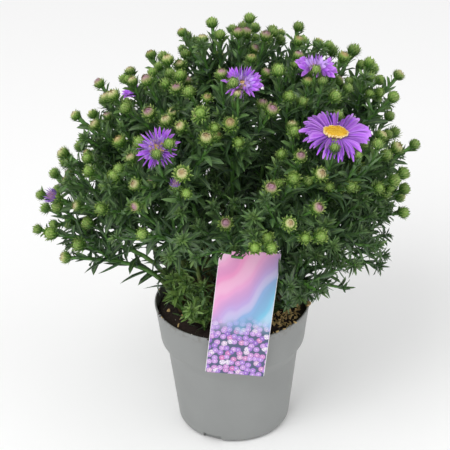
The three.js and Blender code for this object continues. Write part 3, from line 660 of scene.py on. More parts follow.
def store(mesh, key, values):
    """Stores a value for each point of a mesh."""
    first = values[0]
    width = len(first) if hasattr(first, "__len__") else 1
    kind, part = {1: ("FLOAT", "value"), 3: ("FLOAT_VECTOR", "vector"), 4: ("FLOAT_COLOR", "color")}[width]
    if key == "turn":
        kind, part = "QUATERNION", "value"
    elif isinstance(first, int):
        kind = "INT"
    flat = values if width == 1 else [c for value in values for c in value]
    mesh.attributes.new(key, kind, "POINT").data.foreach_set(part, flat)


def shape_collection(name, meshes):
    """Meshes as the children of a collection, for a tree to pick from."""
    made = bpy.data.collections.new(name)
    for i, mesh in enumerate(meshes):
        made.objects.link(bpy.data.objects.new(f"{name}_{i:02d}", mesh))
    return made


def drop_collection(collection):
    """Removes the shapes that a tree has finished with."""
    for item in list(collection.objects):
        mesh = item.data
        bpy.data.objects.remove(item)
        bpy.data.meshes.remove(mesh)
    bpy.data.collections.remove(collection)


@contextmanager
def editing(mesh):
    """A mesh as a bmesh, written back at the end."""
    bm = bmesh.new()
    bm.from_mesh(mesh)
    yield bm
    bm.to_mesh(mesh)
    bm.free()


def make_plain(piece):
    """Gives a piece the mesh that its modifier makes."""
    depsgraph = bpy.context.evaluated_depsgraph_get()
    result = bpy.data.meshes.new_from_object(
        piece.evaluated_get(depsgraph), preserve_all_data_layers=True, depsgraph=depsgraph
    )
    source = piece.data
    piece.modifiers.clear()
    piece.data = result
    bpy.data.meshes.remove(source)


BLADE_THICKNESS = 0.016
LEAF_STATIONS = (0.0, 0.22, 0.5, 0.8, 1.0)
FINE_STATIONS = (0.0, 0.4, 0.78, 1.0)
RAY_STATIONS = (0.0, 0.3, 0.6, 0.84, 1.0)


def blade_half_width(t, foot, power):
    """Half the width of a blade of width 1 at a share of its length."""
    return 0.5 * (foot * (1 - t) + (1 - 0.4 * foot) * sin(pi * t ** power) ** 0.85)


def strap_half_width(t, foot):
    """The same for a ray with a blunt tip."""
    return 0.5 * lerp(foot, 1, smooth(t / 0.45)) * sqrt(1 - 0.85 * max(0.0, (t - 0.72) / 0.28) ** 2)


def blade_mesh(name, bend, twist, fold, stations=LEAF_STATIONS, foot=0.3, power=0.85):
    """A closed blade of length 1 and width 1 along Z, with its upper face towards Y."""
    rings = []
    along = []
    strap = stations == RAY_STATIONS
    for t in stations:
        turn = bend * t
        centre = Vector((0, -(1 - cos(turn)) / bend, sin(turn) / bend))
        normal = Vector((0, cos(turn), sin(turn)))
        ahead = Vector((0, -sin(turn), cos(turn)))
        spin = Matrix.Rotation(twist * t, 3, ahead)
        wide, normal = spin @ Vector((1, 0, 0)), spin @ normal
        if t == 1.0 and not strap:
            rings.append([centre])
            along.append([1.0])
            continue
        half = strap_half_width(t, foot) if strap else blade_half_width(t, foot, power)
        thick = BLADE_THICKNESS * (1 - 0.6 * t)
        lift = normal * fold * half * 2
        rings.append([
            centre + wide * half + lift,
            centre + normal * thick,
            centre - wide * half + lift,
            centre - normal * thick,
        ])
        along.append([t] * 4)
    across = [[1.0, 0.0, -1.0, 0.0] if len(ring) == 4 else [0.0] for ring in rings]
    under = [[0.0, 0.0, 0.0, 1.0] if len(ring) == 4 else [0.5] for ring in rings]
    shape = Shape()
    shape.add(rings, along=along, across=across, under=under)
    mesh = shape.mesh(name)
    sides = shape.values["across"]
    tip = len(sides) - 1
    for edge in mesh.edges:
        a, b = (sides[v] for v in edge.vertices)
        at_tip = tip in edge.vertices and not strap
        edge.use_edge_sharp = a == b != 0 or (at_tip and a + b != 0)
    return mesh


# The bend, twist and fold of the leaves: first the large ones, then the small ones.
LARGE_LEAVES = (
    (0.25, 0, 0.05), (0.55, 0.2, 0.045), (0.85, -0.25, 0.04), (-0.25, 0, 0.055), (1.15, 0.35, 0.035),
)
SMALL_LEAVES = ((0.3, 0, 0.05), (0.6, 0.2, 0.045), (-0.3, -0.2, 0.05), (0.9, -0.3, 0.04))
SMALL_LEAF = 14.5 * MM


def pick_leaf(roll, length):
    """The leaf shape for a random number from 0 to 1 and a length."""
    if length < SMALL_LEAF:
        return len(LARGE_LEAVES) + int(roll * 0.999 * len(SMALL_LEAVES))
    return int(roll * 0.999 * len(LARGE_LEAVES))


CORE_PROFILE = ((0.0, 1.3), (0.6, 2.6), (1.9, 3.7), (3.8, 4.05), (5.6, 3.55), (6.9, 2.4), (7.6, 0.9))
CORE_SIDES = 8
SCALE_ROWS = 6
OPEN_SCALE_ROWS = 4
SCALE_COUNTS = (9, 11, 12, 12, 10, 6)
GREEN_DEEP = rgb("416b24")
GREEN_MID = rgb("648a3c")
GREEN_LIME = rgb("84a648")
GREEN_PALE = rgb("abbe6b")
CREAM = rgb("cfc396")
TAN = rgb("ad9160")
PIT = rgb("8e6c56")
PINK = rgb("a8788a")
PINK_PALE = rgb("cfabb9")
LILAC = rgb("a378cc")
VIOLET = rgb("7c40c4")


def core_radius(height):
    """The bud's radius at a height, both in millimetres."""
    heights, radii = zip(*CORE_PROFILE)
    return float(np.interp(height, heights, radii))


def lathe_ring(radius, height, sides):
    """A level ring of points about Z, or its middle where the radius is 0."""
    turns = [2 * pi * i / sides for i in range(sides if radius else 1)]
    return [Vector((radius * cos(a), radius * sin(a), height)) for a in turns]


def add_scale(shape, spin, radius, height, length, width, lean, curl, thick, tints):
    """A bud scale or a short petal that leaves the core at a height."""
    out = direction(spin)
    round_ = Vector((-out.y, out.x, 0))
    place = out * radius + UP * height
    stations = ((0.0, 0.8), (0.55, 0.95), (1.0, 0.0))
    rings = []
    done = 0.0
    for t, wide in stations:
        angle = lean + curl * t
        ahead = out * sin(angle) + UP * cos(angle)
        place = place + ahead * length * (t - done)
        done = t
        outside = round_.cross(ahead)
        half = round_ * width * wide / 2
        rings.append([place + outside * thick * (1.1 - t), place + half, place - half] if wide else [place])
    low, high = tints
    shades = [tuple(lerp(a, b, smooth(t)) for a, b in zip(low, high)) for t, _ in stations]
    shape.add(rings, tint=[[shade] * len(ring) for shade, ring in zip(shades, rings)])


# The petals of a bud that opens: rings of count, radius, height, length, width, lean and curl,
# with the colours at their foot and tip.
TOPS = {
    "cream": (
        ((18, 3.6, 4.6, 4.0, 1.2, 12, -62), GREEN_PALE, CREAM),
        ((13, 2.6, 5.2, 3.4, 1.1, 0, -74), CREAM, TAN),
    ),
    "tan": (
        ((18, 3.6, 4.7, 3.9, 1.2, 8, -60), GREEN_LIME, TAN),
        ((13, 2.5, 5.3, 3.4, 1.1, 0, -74), CREAM, TAN),
    ),
    "pink": (
        ((20, 3.7, 4.6, 4.4, 1.1, 14, -52), GREEN_PALE, PINK),
        ((15, 2.6, 5.2, 4.0, 1.0, 2, -66), PINK_PALE, PINK),
    ),
    "violet": (
        ((22, 3.4, 4.9, 5.4, 1.0, 24, 4), VIOLET, LILAC),
        ((16, 2.2, 5.6, 4.8, 0.9, 6, 2), LILAC, PINK_PALE),
    ),
}


def bud_mesh(name, seed, spread, reach, top):
    """A bud: a round core in rows of pointed scales, closed, opening or a cup."""
    shape = Shape()
    profile = list(CORE_PROFILE)
    if top == "cup":
        cup = BUD_CUP * BUD_HEIGHT / MM
        profile = [(h, r) for h, r in profile if h < cup] + [(cup, 3.9)]
    elif top != "closed":
        profile = profile[:5] + [(6.1, 2.6), (5.7, 1.2)]
    rings = [lathe_ring(r, h, CORE_SIDES) for h, r in profile]
    shades = [GREEN_DEEP if h < 4 else GREEN_LIME for h, _ in profile]
    if top in TOPS:
        shades[-2:] = [PIT, PIT]
    shape.add(rings, tint=[[shade] * CORE_SIDES for shade in shades])
    for k in range(SCALE_ROWS if top == "closed" else OPEN_SCALE_ROWS):
        share = k / (SCALE_ROWS - 1)
        height = lerp(0.4, 6.4, share)
        for i in range(SCALE_COUNTS[k]):
            wobble = chance(seed, k * 20 + i, 31)
            spin = 2 * pi * (i + 0.5 * (k % 2) + 0.25 * (wobble - 0.5)) / SCALE_COUNTS[k]
            lean = radians(lerp(42, 4 if top == "closed" else 14, share)) * min(spread, 1.2)
            curl = radians(lerp(34, -44, share) + 36 * (wobble - 0.5) + 26 * (spread - 1))
            length = lerp(4.0, 2.6, share) * (0.8 + 0.4 * wobble) * reach
            tip = GREEN_LIME if k < 2 or wobble < 0.3 else GREEN_PALE
            width = lerp(1.2, 1.3, share) / reach
            add_scale(shape, spin, core_radius(height) * 0.95, height, length, width,
                      lean, curl, 0.34, (GREEN_DEEP if k < 2 else GREEN_MID, tip))
    for ring, low, high in TOPS.get(top, ()):
        add_petals(shape, seed + ring[0], ring, (low, high))
    shape.points = [p * MM for p in shape.points]
    return shape.mesh(name)


def add_petals(shape, seed, ring, tints):
    """A ring of short petals on a bud that is opening."""
    count, radius, height, length, width, lean, curl = ring
    for i in range(count):
        wobble = chance(seed, i, 33)
        spin = 2 * pi * (i + 0.4 * wobble) / count
        add_scale(shape, spin, radius, height, length * (0.8 + 0.35 * wobble), width,
                  radians(lean + 14 * (wobble - 0.5)), radians(curl), 0.3, tints)


# The kinds of bud: the closed ones and then those that open. Each has its seed, how far its scales
# spread and reach, its top, and its share of its group.
BUD_SHAPES = (
    (1, 1.0, 1.0, "closed", 0.36), (2, 1.35, 1.0, "closed", 0.26), (3, 0.8, 1.0, "closed", 0.24),
    (7, 2.2, 1.3, "closed", 0.14), (4, 1.0, 1.0, "cream", 0.26), (5, 1.4, 1.0, "cream", 0.12),
    (6, 1.0, 1.0, "pink", 0.24), (8, 1.0, 1.0, "tan", 0.2), (9, 1.4, 1.0, "pink", 0.14),
    (10, 1.0, 1.0, "violet", 0.04), (12, 1.0, 1.0, "cup", 0.0),
)
CUP_SHAPE = len(BUD_SHAPES) - 1


def pick_bud(roll, opening):
    """The bud shape for a random number from 0 to 1, where a share of the buds opens."""
    for i, (*_, top, share) in enumerate(BUD_SHAPES):
        roll -= share * (1 - opening if top == "closed" else opening)
        if roll < 0:
            return i
    return 0


def opening_share(place):
    """The share of the buds at a place that open: the most at the top left."""
    high = smooth((place.z - 160 * MM) / (80 * MM))
    left = smooth((75 * MM - place.x) / (90 * MM))
    return lerp(0.16, 0.62, high * left)


PATH_STEPS = 24


class Path:
    """A Bezier path with cross axes that follow a side vector."""

    def __init__(self, handles, side):
        self.handles = handles
        self.side = side
        points = [self.point(k / PATH_STEPS) for k in range(PATH_STEPS + 1)]
        steps = [(b - a).length for a, b in zip(points, points[1:])]
        self.reach = np.concatenate(([0], np.cumsum(steps)))
        self.length = float(self.reach[-1])

    def casteljau(self, t, left):
        row = self.handles
        while len(row) > left:
            row = [a.lerp(b, t) for a, b in zip(row, row[1:])]
        return row

    def point(self, t):
        return self.casteljau(t, 1)[0]

    def frame(self, t):
        """The point at t and the ahead, across and over axes there."""
        a, b = self.casteljau(t, 2)
        return axes_at(a.lerp(b, t), (b - a).normalized(), self.side)

    def shortened(self, t):
        """The part of the path from its root to t."""
        row = [self.casteljau(t, left)[0] for left in range(len(self.handles), 0, -1)]
        return Path(row, self.side)

    def share_at(self, from_tip):
        """The path's parameter at a distance back from its tip."""
        return float(np.interp(self.length - from_tip, self.reach, np.linspace(0, 1, PATH_STEPS + 1)))


def axes_at(place, ahead, side):
    """A place with its ahead, across and over axes."""
    across = (side - ahead * side.dot(ahead)).normalized()
    return Record(at=place, ahead=ahead, across=across, over=ahead.cross(across))


def around(axes, spin):
    """The way out at an angle round the ahead axis."""
    return axes.across * cos(spin) + axes.over * sin(spin)


def direction(azimuth, elevation=0):
    flat = cos(elevation)
    return Vector((flat * cos(azimuth), flat * sin(azimuth), sin(elevation)))


def apart(toward, azimuth, elevation):
    """The angle between a direction and one given in degrees."""
    return toward.angle(direction(radians(azimuth), radians(elevation)))


def crown_size(toward):
    """How far the crown's lobes push its surface out in a direction."""
    size = 1.0
    for azimuth, elevation, width, gain in LOBES:
        off = apart(toward, azimuth, elevation) / radians(width)
        size += gain * exp(-off * off)
    return size


def crown_point(toward, reach):
    """The crown's surface in a direction."""
    return CROWN.centre + CROWN.radii * toward * reach * crown_size(toward)


def grows_over(tip, toward):
    """Whether a tip keeps off the crown's open side and out of sight of the label."""
    azimuth, elevation, width = OPEN_SIDE
    return apart(toward, azimuth, elevation) >= radians(width) and clear_of_label(tip, BUD_RADIUS)


def in_crown(tip):
    """Whether a twig's tip keeps inside the crown."""
    share = Vector(off / half for off, half in zip(tip - CROWN.centre, CROWN.radii))
    toward = share.normalized()
    return share.length < CROWN.brim * crown_size(toward) and grows_over(tip, toward)


def grow_spray(index, azimuth, elevation, reach, face=None):
    """One leafy stem's path from the soil to its tip on the crown."""
    toward = direction(azimuth, elevation)
    tip = crown_point(toward, reach)
    lowest = sin(CROWN.lowest)
    share = (sin(elevation) - lowest) / (1 - lowest)
    foot_radius = CROWN.foot_spread * sqrt(max(0.02, 1 - share))
    flat_out = direction(azimuth)
    foot = flat_out * foot_radius + UP * (SOIL_EDGE - CROWN.root_depth)
    heading = (toward + UP * CROWN.upturn).normalized()
    length = (foot - tip).length
    rise = (UP + flat_out * CROWN.outward_lean).normalized()
    behind = max(0, 1 - apart(toward, *LABEL_SIDE[:2]) / radians(LABEL_SIDE[2]))
    first = length * (CROWN.first_rise + LABEL_SIDE_LIFT * behind)
    end = Vector(face).normalized() if face else heading
    handles = [foot, foot + rise * first, tip - end * length * CROWN.last_rise, tip]
    path = Path(handles, Vector((-sin(azimuth), cos(azimuth), 0)))
    leafy = apart(toward, *LEAFY_SIDE[:2]) < radians(LEAFY_SIDE[2]) and not face
    return Record(
        index=index, name=f"leafy_stem_{index + 1:02d}", tip=tip, heading=heading, end=end, path=path,
        leafy=leafy, toward=toward,
    )


def all_sprays():
    """Every leafy stem, in the fixed model's order."""
    places = [(b.azimuth, b.elevation, 1.0, b.face) for b in BLOOMS]
    places += [(*place, None) for place in OUTLINE_SPRAYS]
    placed = list(places)
    for k in range(CROWN.sprays):
        height = lerp(sin(CROWN.lowest), 1, (k + 0.5) / CROWN.sprays)
        azimuth = CROWN.first_azimuth + degrees(k * GOLDEN_ANGLE)
        elevation = degrees(asin(height))
        toward = direction(radians(azimuth), radians(elevation))
        reach = CROWN.reach_least + CROWN.reach_span * chance(k, 7)
        free = all(apart(toward, a, e) >= CROWN.clear_angle for a, e, _, _ in placed)
        if free and grows_over(crown_point(toward, reach), toward):
            places.append((azimuth, elevation, reach, None))
    return [
        grow_spray(i, radians(a), radians(e), reach, face)
        for i, (a, e, reach, face) in enumerate(places)
    ]


def grow_twig(spray, j, attempt, spacing_share=1.0):
    """A twig of a leafy stem, turned round it by an attempt."""
    side = spray.path.side
    over = spray.heading.cross(side).normalized()
    angle = 2 * pi * (chance(spray.index, 1) + attempt / TWIG.tries) + j * GOLDEN_ANGLE
    offset = side * cos(angle) + over * sin(angle)
    spacing = TWIG.spacing * (0.85 + 0.3 * chance(spray.index, j, 2)) * spacing_share
    drop = TWIG.drop_least + TWIG.drop_span * chance(spray.index, j, 3)
    end = spray.tip + offset * spacing - spray.heading * drop
    heading = (spray.heading + offset * TWIG.splay).normalized()
    root = spray.path.point(TWIG.root_least + TWIG.root_span * chance(spray.index, j, 4))
    bend = end - heading * TWIG.bend * (root - end).length
    path = Path([root, bend, end], spray.heading.cross(offset).normalized())
    return Record(path=path, end=end, heading=heading)


def modelled_twigs(spray):
    """The fixed model's twigs: each is the turn whose last ring its mesh holds."""
    corners = NODES[spray.name].data.vertices
    tree = kdtree.KDTree(len(corners))
    for i, corner in enumerate(corners):
        tree.insert(corner.co, i)
    tree.balance()
    found = []
    for j in range(TWIG.modelled):
        for attempt in range(TWIG.tries):
            twig = grow_twig(spray, j, attempt)
            spot = twig.path.frame(1)
            ring = [spot.at + around(spot, 2 * pi * i / TWIG.sides) * TWIG.radius for i in range(TWIG.sides)]
            if any(tree.find(point)[2] < 0.05 * MM for point in ring):
                found.append(twig)
                break
    return found


def inner_radius(height):
    """The room inside the pot's wall at a height."""
    heights = (0, SHOULDER, COLLAR_FOOT, POT_HEIGHT)
    radii = (FOOT_RADIUS, BODY_TOP_RADIUS, COLLAR_FOOT_RADIUS, RIM_RADIUS)
    return float(np.interp(height, heights, radii)) - WALL - GAP


def soil_height(x, y):
    """The soil's surface, as in the fixed model."""
    share = min(1.0, hypot(x, y) / inner_radius(SOIL_EDGE))
    u, v = x / MM, y / MM
    crumbs = sin(u * 0.41 + 1.3) * cos(v * 0.37) + sin((u + v) * 0.23 + 2.1)
    return SOIL_EDGE + SOIL_MOUND * (1 - share ** 2) + 1.1 * MM * crumbs * (1 - share ** 6)


def label_matrix():
    """The label's own frame: its front face at Y = 0, its foot at Z = 0."""
    place = Vector((0.5 * MM, -(RIM_RADIUS + GAP) - LABEL_THICKNESS, LABEL_BOTTOM))
    return Matrix.Translation(place) @ Matrix.Rotation(LABEL_LEAN, 4, "Y")


LABEL_MATRIX = label_matrix()
LABEL_INVERSE = LABEL_MATRIX.inverted()
RIM_ON_LABEL = (POT_HEIGHT - LABEL_BOTTOM) / cos(LABEL_LEAN)


def clear_of_holder(point, need):
    """Whether a point keeps off the pot, the soil and the label."""
    out = hypot(point.x, point.y)
    if out < inner_radius(POT_HEIGHT) - need:
        if point.z < soil_height(point.x, point.y) + need:
            return False
    elif out < RIM_RADIUS + need and point.z < POT_HEIGHT + need:
        return False
    p = LABEL_INVERSE @ point
    behind = p.y > LABEL_THICKNESS + need
    return behind or clear_of_label(point, need - GAP)


def clear_of_label(point, radius):
    """Whether something round keeps off the label and the room in front of it."""
    p = LABEL_INVERSE @ point
    need = radius + GAP
    beside = abs(p.x) > LABEL_WIDTH / 2 + need
    above = p.z > LABEL_LENGTH + need
    before = p.y < -need and p.z > LABEL_LENGTH - LABEL_OVERLAP - LABEL_SIGHT * p.y
    behind = p.y > LABEL_THICKNESS + TONGUE_REACH + LABEL_BACK_ROOM + need
    return beside or above or before or behind


def hides_label(point, need):
    """Whether something round hides the label from the camera."""
    p = LABEL_INVERSE @ point
    eye = LABEL_INVERSE @ CAMERA_PLACE
    if p.y > 0:
        return False
    seen = eye.lerp(p, eye.y / (eye.y - p.y))
    return abs(seen.x) < LABEL_WIDTH / 2 + need and -need < seen.z < LABEL_LENGTH - LABEL_OVERLAP / 2 + need


def hides_bark(point):
    """Whether a place covers the patch of bark chips from the camera."""
    sight = point - CAMERA_PLACE
    on_soil = point + sight * ((SOIL_EDGE - point.z) / sight.z)
    return (on_soil.xy - BARK_SPOT).length < BARK_SIGHT


def hangs_low(point):
    """Whether a point hangs below the crown's lower edge at its right side."""
    edge = LOW_EDGE.height + LOW_EDGE.by_side * point.x - LOW_EDGE.by_front * point.y
    return point.x > LOW_SIDE and point.z < edge


def inside_box(point, need):
    """Whether a point keeps inside the fixed model's box."""
    return all(low + need <= c <= high - need for low, c, high in zip(CAD_LOW, point, CAD_HIGH))


def bloom_places(sprays):
    """Each bloom's centre, the way it looks and its radius."""
    return [(cup_top(bloom, spray), spray.end, bloom.diameter / 2) for bloom, spray in zip(BLOOMS, sprays)]


def cup_top(bloom, spray):
    """The top of the green cup under a bloom, where its hub stands."""
    return spray.tip + spray.end * (BUD_HEIGHT * BUD_CUP * cup_scale(bloom) + GAP)


def cup_scale(bloom):
    return max(1, bloom.diameter / CUP_SCALE_DIAMETER)


def clear_of_blooms(point, places, need=1.5 * MM):
    """Whether a point keeps off every bloom's open face and the air above it."""
    for centre, ahead, radius in places:
        off = point - centre
        height = off.dot(ahead)
        if -3 * MM < height < 26 * MM and (off - ahead * height).length < radius + need - 0.3 * height:
            return False
    return True


# What each point of a growing mesh carries, and its values at a point that is no seat.
POINT_KEYS = ("kind", "shape", "turn", "size", "tone", "young", "girth")
PLAIN_POINT = (STEM_KIND, 0, (1.0, 0, 0, 0), (1.0, 1.0, 1.0), 0.5, 0.0, 0.0)


class Growth:
    """The mesh that a tree grows on: stems as edges, and seats for leaves and buds as points."""

    def __init__(self, blooms=()):
        self.points = []
        self.edges = []
        self.rows = []
        self.blooms = blooms

    def put(self, point, *row):
        self.points.append(tuple(point))
        self.rows.append(row)

    def stem(self, path, kind):
        """Adds a limb's stem."""
        first = len(self.points)
        for k in range(kind.steps + 1):
            t = k / kind.steps
            green = 1 - kind.age * (1 - smooth(t / 0.5))
            self.put(path.point(t), *PLAIN_POINT[:5], green, lerp(kind.foot, kind.tip, t))
        self.edges += [(first + k, first + k + 1) for k in range(kind.steps)]

    def seat(self, kind, shape, at, ahead, upper, size, tone, young):
        """Adds a leaf or a bud, its upper face as near upper as it can be."""
        z = ahead.normalized()
        y = (upper - z * upper.dot(z)).normalized()
        turn = Matrix((y.cross(z), y, z)).transposed().to_quaternion()
        self.put(at, kind, shape, tuple(turn), tuple(size), tone, young, 0.0)

    def seat_leaf(self, shape, at, ahead, upper, width, length, tone, young):
        self.seat(LEAF_KIND, shape, at, ahead, upper, (width, length, length), tone, young)

    def mesh(self, name):
        mesh = bpy.data.meshes.new(name)
        mesh.from_pydata(self.points, self.edges, [])
        store_rows(mesh, self.rows)
        return mesh


def store_rows(mesh, rows):
    for key, values in zip(POINT_KEYS, zip(*rows)):
        store(mesh, key, values)


def painted_daylight(place):
    """The painted shade on leaves: a factor for their tone and young colour, less low in the crown where its
    own shade falls.
    """
    return lerp(0.1, 1, smooth((place.z - 145 * MM) / (95 * MM)))


def leaf_fits(point, room, sight, blooms):
    """Whether a leaf may reach a point."""
    return (
        clear_of_holder(point, room)
        and not hides_label(point, sight)
        and clear_of_blooms(point, blooms)
    )


def dress_limb(growth, owner, limb, path, kind, budded, sparse=1.0):
    """Adds a limb with its leaves in a spiral, close and steep under a bud and wider below."""
    growth.stem(path, kind)
    d = 0.5 * MM
    i = -1
    while d < path.length * kind.leafy:
        i += 1
        d += sparse * lerp(*LEAF_GAP, smooth(d / (38 * MM))) * MM
        grown = smooth(d / (42 * MM))
        roll = [chance(owner, limb * 97 + i, 40 + k) for k in range(6)]
        length = lerp(9.0 if budded else 8.0, 21, grown) * (0.8 + 0.4 * roll[0]) * MM
        width = lerp(2.2 if budded else 1.7, 3.8, smooth(d / (30 * MM))) * (0.85 + 0.3 * roll[1]) * MM
        rise = radians(lerp(17 if budded else 32, 50, grown) + 16 * (roll[2] - 0.5))
        young = max(0.0, 1 - d / (26 * MM)) ** 1.4 * lerp(0.25, 0.8, roll[3])
        spot = path.frame(path.share_at(d))
        for attempt in range(LEAF_TRIES):
            out = around(spot, i * GOLDEN_ANGLE + 2 * pi * chance(owner, limb, 12) + attempt * 0.9)
            ahead = (spot.ahead * cos(rise) + out * sin(rise) + UP * 0.12).normalized()
            middle = spot.at + ahead * length * 0.55
            tip = spot.at + ahead * length
            kept = inside_box(tip, 0.5 * MM) and not hangs_low(tip)
            blooms = growth.blooms
            if kept and leaf_fits(middle, 1.5 * MM, 1 * MM, blooms) and leaf_fits(tip, 1.5 * MM, 0, blooms):
                # Painted shade: leaves low in the crown get a darker tone and less young colour, and leaves
                # far from the tip a darker tone, partly for age and partly for the shade deep in the crown.
                light = painted_daylight(spot.at)
                upper = spot.ahead * sin(rise) - out * cos(rise)
                growth.seat_leaf(pick_leaf(roll[4], length), spot.at, ahead, upper, width, length,
                                 roll[5] * lerp(1, 0.3, grown) * light, young * light)
                break


def dress_tuft(growth, owner, number, limb, leaves=24, fresh=0.7, size=1.0):
    """A rosette of narrow young leaves at a tip without a bud. The given share sets their young colour and
    tone; in the crown it carries painted shade.
    """
    heading = limb.heading
    over = heading.cross(limb.path.side).normalized()
    spot = Record(across=over.cross(heading), over=over)
    for i in range(leaves):
        share = i / (leaves - 1)
        roll = [chance(owner, number * 31 + i, 15 + k) for k in range(3)]
        out = around(spot, i * GOLDEN_ANGLE + 6.0 * chance(owner, number, 14))
        rise = radians(lerp(6, 80, share ** 0.8) + 10 * (roll[2] - 0.5))
        ahead = heading * cos(rise) + out * sin(rise)
        length = lerp(3.6, 9.5, smooth(share * 1.1)) * (0.8 + 0.4 * roll[0]) * size * MM
        root = limb.end - heading * share * 4.5 * MM
        tip = root + ahead * length
        kept = inside_box(tip, 0.5 * MM) and not hangs_low(tip)
        if kept and leaf_fits(tip, 1.2 * MM, 0.5 * MM, growth.blooms):
            growth.seat_leaf(pick_leaf(roll[1], length), root, ahead, heading * sin(rise) - out * cos(rise),
                             lerp(1.0, 2.0, share) * size * MM, length,
                             fresh * chance(owner, i, 17), lerp(fresh, 0.0, share ** 0.7))


def new_growth_tree(name, shapes, sizes, materials):
    """A geometry tree with named inputs, and its input node's sockets."""
    tree = bpy.data.node_groups.new(name, "GeometryNodeTree")
    add_sockets(
        tree, "INPUT", ("Geometry", "Geometry"),
        *((label, "Collection") for label in shapes),
        *((label, "Int" if isinstance(size, int) else "Float", size) for label, size in sizes.items()),
        *((label, "Material") for label in materials),
    )
    add_sockets(tree, "OUTPUT", ("Geometry", "Geometry"))
    return tree, add(tree, "NodeGroupInput").outputs


def join(tree, *branches):
    """Joins branches into what a geometry tree puts out."""
    joined = add(tree, "GeometryNodeJoinGeometry")
    for branch in branches:
        feed(joined, {0: branch})
    add(tree, "NodeGroupOutput", {0: joined.outputs[0]})
    return tree


def field(tree, name, kind="FLOAT"):
    """A named attribute in a geometry tree."""
    return add(tree, "GeometryNodeInputNamedAttribute", {"Name": name}, data_type=kind).outputs[0]


def is_kind(tree, kind):
    """Whether a point is a seat of one kind."""
    terms = {2: field(tree, "kind", "INT"), 3: kind}
    return add(tree, "FunctionNodeCompare", terms, data_type="INT", operation="EQUAL").outputs[0]


def with_material(tree, geometry, material):
    return add(tree, "GeometryNodeSetMaterial", {"Geometry": geometry, "Material": material}).outputs[0]


def instances(tree, points, shapes, **inputs):
    """Shapes from a collection on points."""
    info = {"Collection": shapes, "Separate Children": True, "Reset Children": True}
    picked = add(tree, "GeometryNodeCollectionInfo", info).outputs[0]
    links = {"Points": points, "Instance": picked, "Pick Instance": True, **inputs}
    return add(tree, "GeometryNodeInstanceOnPoints", links).outputs[0]


def realized(tree, placed, material):
    """Instances as a plain mesh with its material."""
    solid = add(tree, "GeometryNodeRealizeInstances", {"Geometry": placed}).outputs[0]
    return with_material(tree, solid, material)


def seated(tree, points, kind, shapes, scale, material):
    """Shapes on the seats of one kind, each as its seat says."""
    placed = instances(tree, points, shapes, **{
        "Selection": is_kind(tree, kind),
        "Instance Index": field(tree, "shape", "INT"),
        "Rotation": field(tree, "turn", "QUATERNION"),
        "Scale": scale,
    })
    return realized(tree, placed, material)


def scaled_size(tree, *factors):
    """A seat's own size times one factor for each axis."""
    scale = add(tree, "ShaderNodeCombineXYZ", dict(enumerate(factors))).outputs[0]
    product = {0: field(tree, "size", "FLOAT_VECTOR"), 1: scale}
    return add(tree, "ShaderNodeVectorMath", product, operation="MULTIPLY").outputs[0]


def leafy_tree(name):
    """Sweeps stems along edges and sets leaves and buds on their seats."""
    tree, given = new_growth_tree(
        name, ("Leaf Shapes", "Bud Shapes"),
        {"Stem Sides": 7, "Leaf Width": 1.0, "Leaf Length": 1.0, "Bud Size": 1.0},
        ("Stem Material", "Leaf Material", "Bud Material"),
    )
    points = given["Geometry"]
    circle = add(tree, "GeometryNodeCurvePrimitiveCircle", {"Resolution": given["Stem Sides"], "Radius": 1.0})
    tube = add(tree, "GeometryNodeCurveToMesh", {
        "Curve": add(tree, "GeometryNodeMeshToCurve", {"Mesh": points}).outputs[0],
        "Profile Curve": circle.outputs[0],
        "Scale": field(tree, "girth"),
        "Fill Caps": True,
    })
    leaf_size = scaled_size(tree, given["Leaf Width"], given["Leaf Length"], given["Leaf Length"])
    bud_size = scaled_size(tree, *[given["Bud Size"]] * 3)
    return join(
        tree,
        seated(tree, points, BUD_KIND, given["Bud Shapes"], bud_size, given["Bud Material"]),
        seated(tree, points, LEAF_KIND, given["Leaf Shapes"], leaf_size, given["Leaf Material"]),
        with_material(tree, tube.outputs[0], given["Stem Material"]),
    )


def seated_tree(name):
    """Keeps a mesh's body and sets shapes on its seats: rays on a hub, florets on a disc."""
    tree, given = new_growth_tree(
        name, ("Shapes",), {"Width": 1.0, "Length": 1.0}, ("Body Material", "Shape Material")
    )
    points = given["Geometry"]
    seats = {"Geometry": points, "Selection": is_kind(tree, LEAF_KIND)}
    body = add(tree, "GeometryNodeDeleteGeometry", seats, domain="POINT").outputs[0]
    scale = scaled_size(tree, given["Width"], given["Length"], given["Length"])
    return join(
        tree,
        seated(tree, points, LEAF_KIND, given["Shapes"], scale, given["Shape Material"]),
        with_material(tree, body, given["Body Material"]),
    )


def link(piece):
    bpy.context.scene.collection.objects.link(piece)
    return piece


def grow(name, carrier, tree, sizes):
    """Runs a tree on a mesh and gives the result as a plain object."""
    piece = link(bpy.data.objects.new(name, carrier))
    modifier = piece.modifiers.new("Growth", "NODES")
    modifier.node_group = tree
    for item in tree.interface.items_tree:
        if item.in_out == "INPUT" and item.name in sizes:
            modifier[item.identifier] = sizes[item.name]
    make_plain(piece)
    for key in ("kind", "shape", "turn", "size", "girth"):
        if key in piece.data.attributes:
            piece.data.attributes.remove(piece.data.attributes[key])
    if not len(piece.data.polygons):
        raise RuntimeError(f"{name} grew no faces")
    return piece


def finish_piece(piece, node):
    """Sets a finished piece on the root body and hides the node that it stands for."""
    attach(piece, ROOT_BODY)
    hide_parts(node)


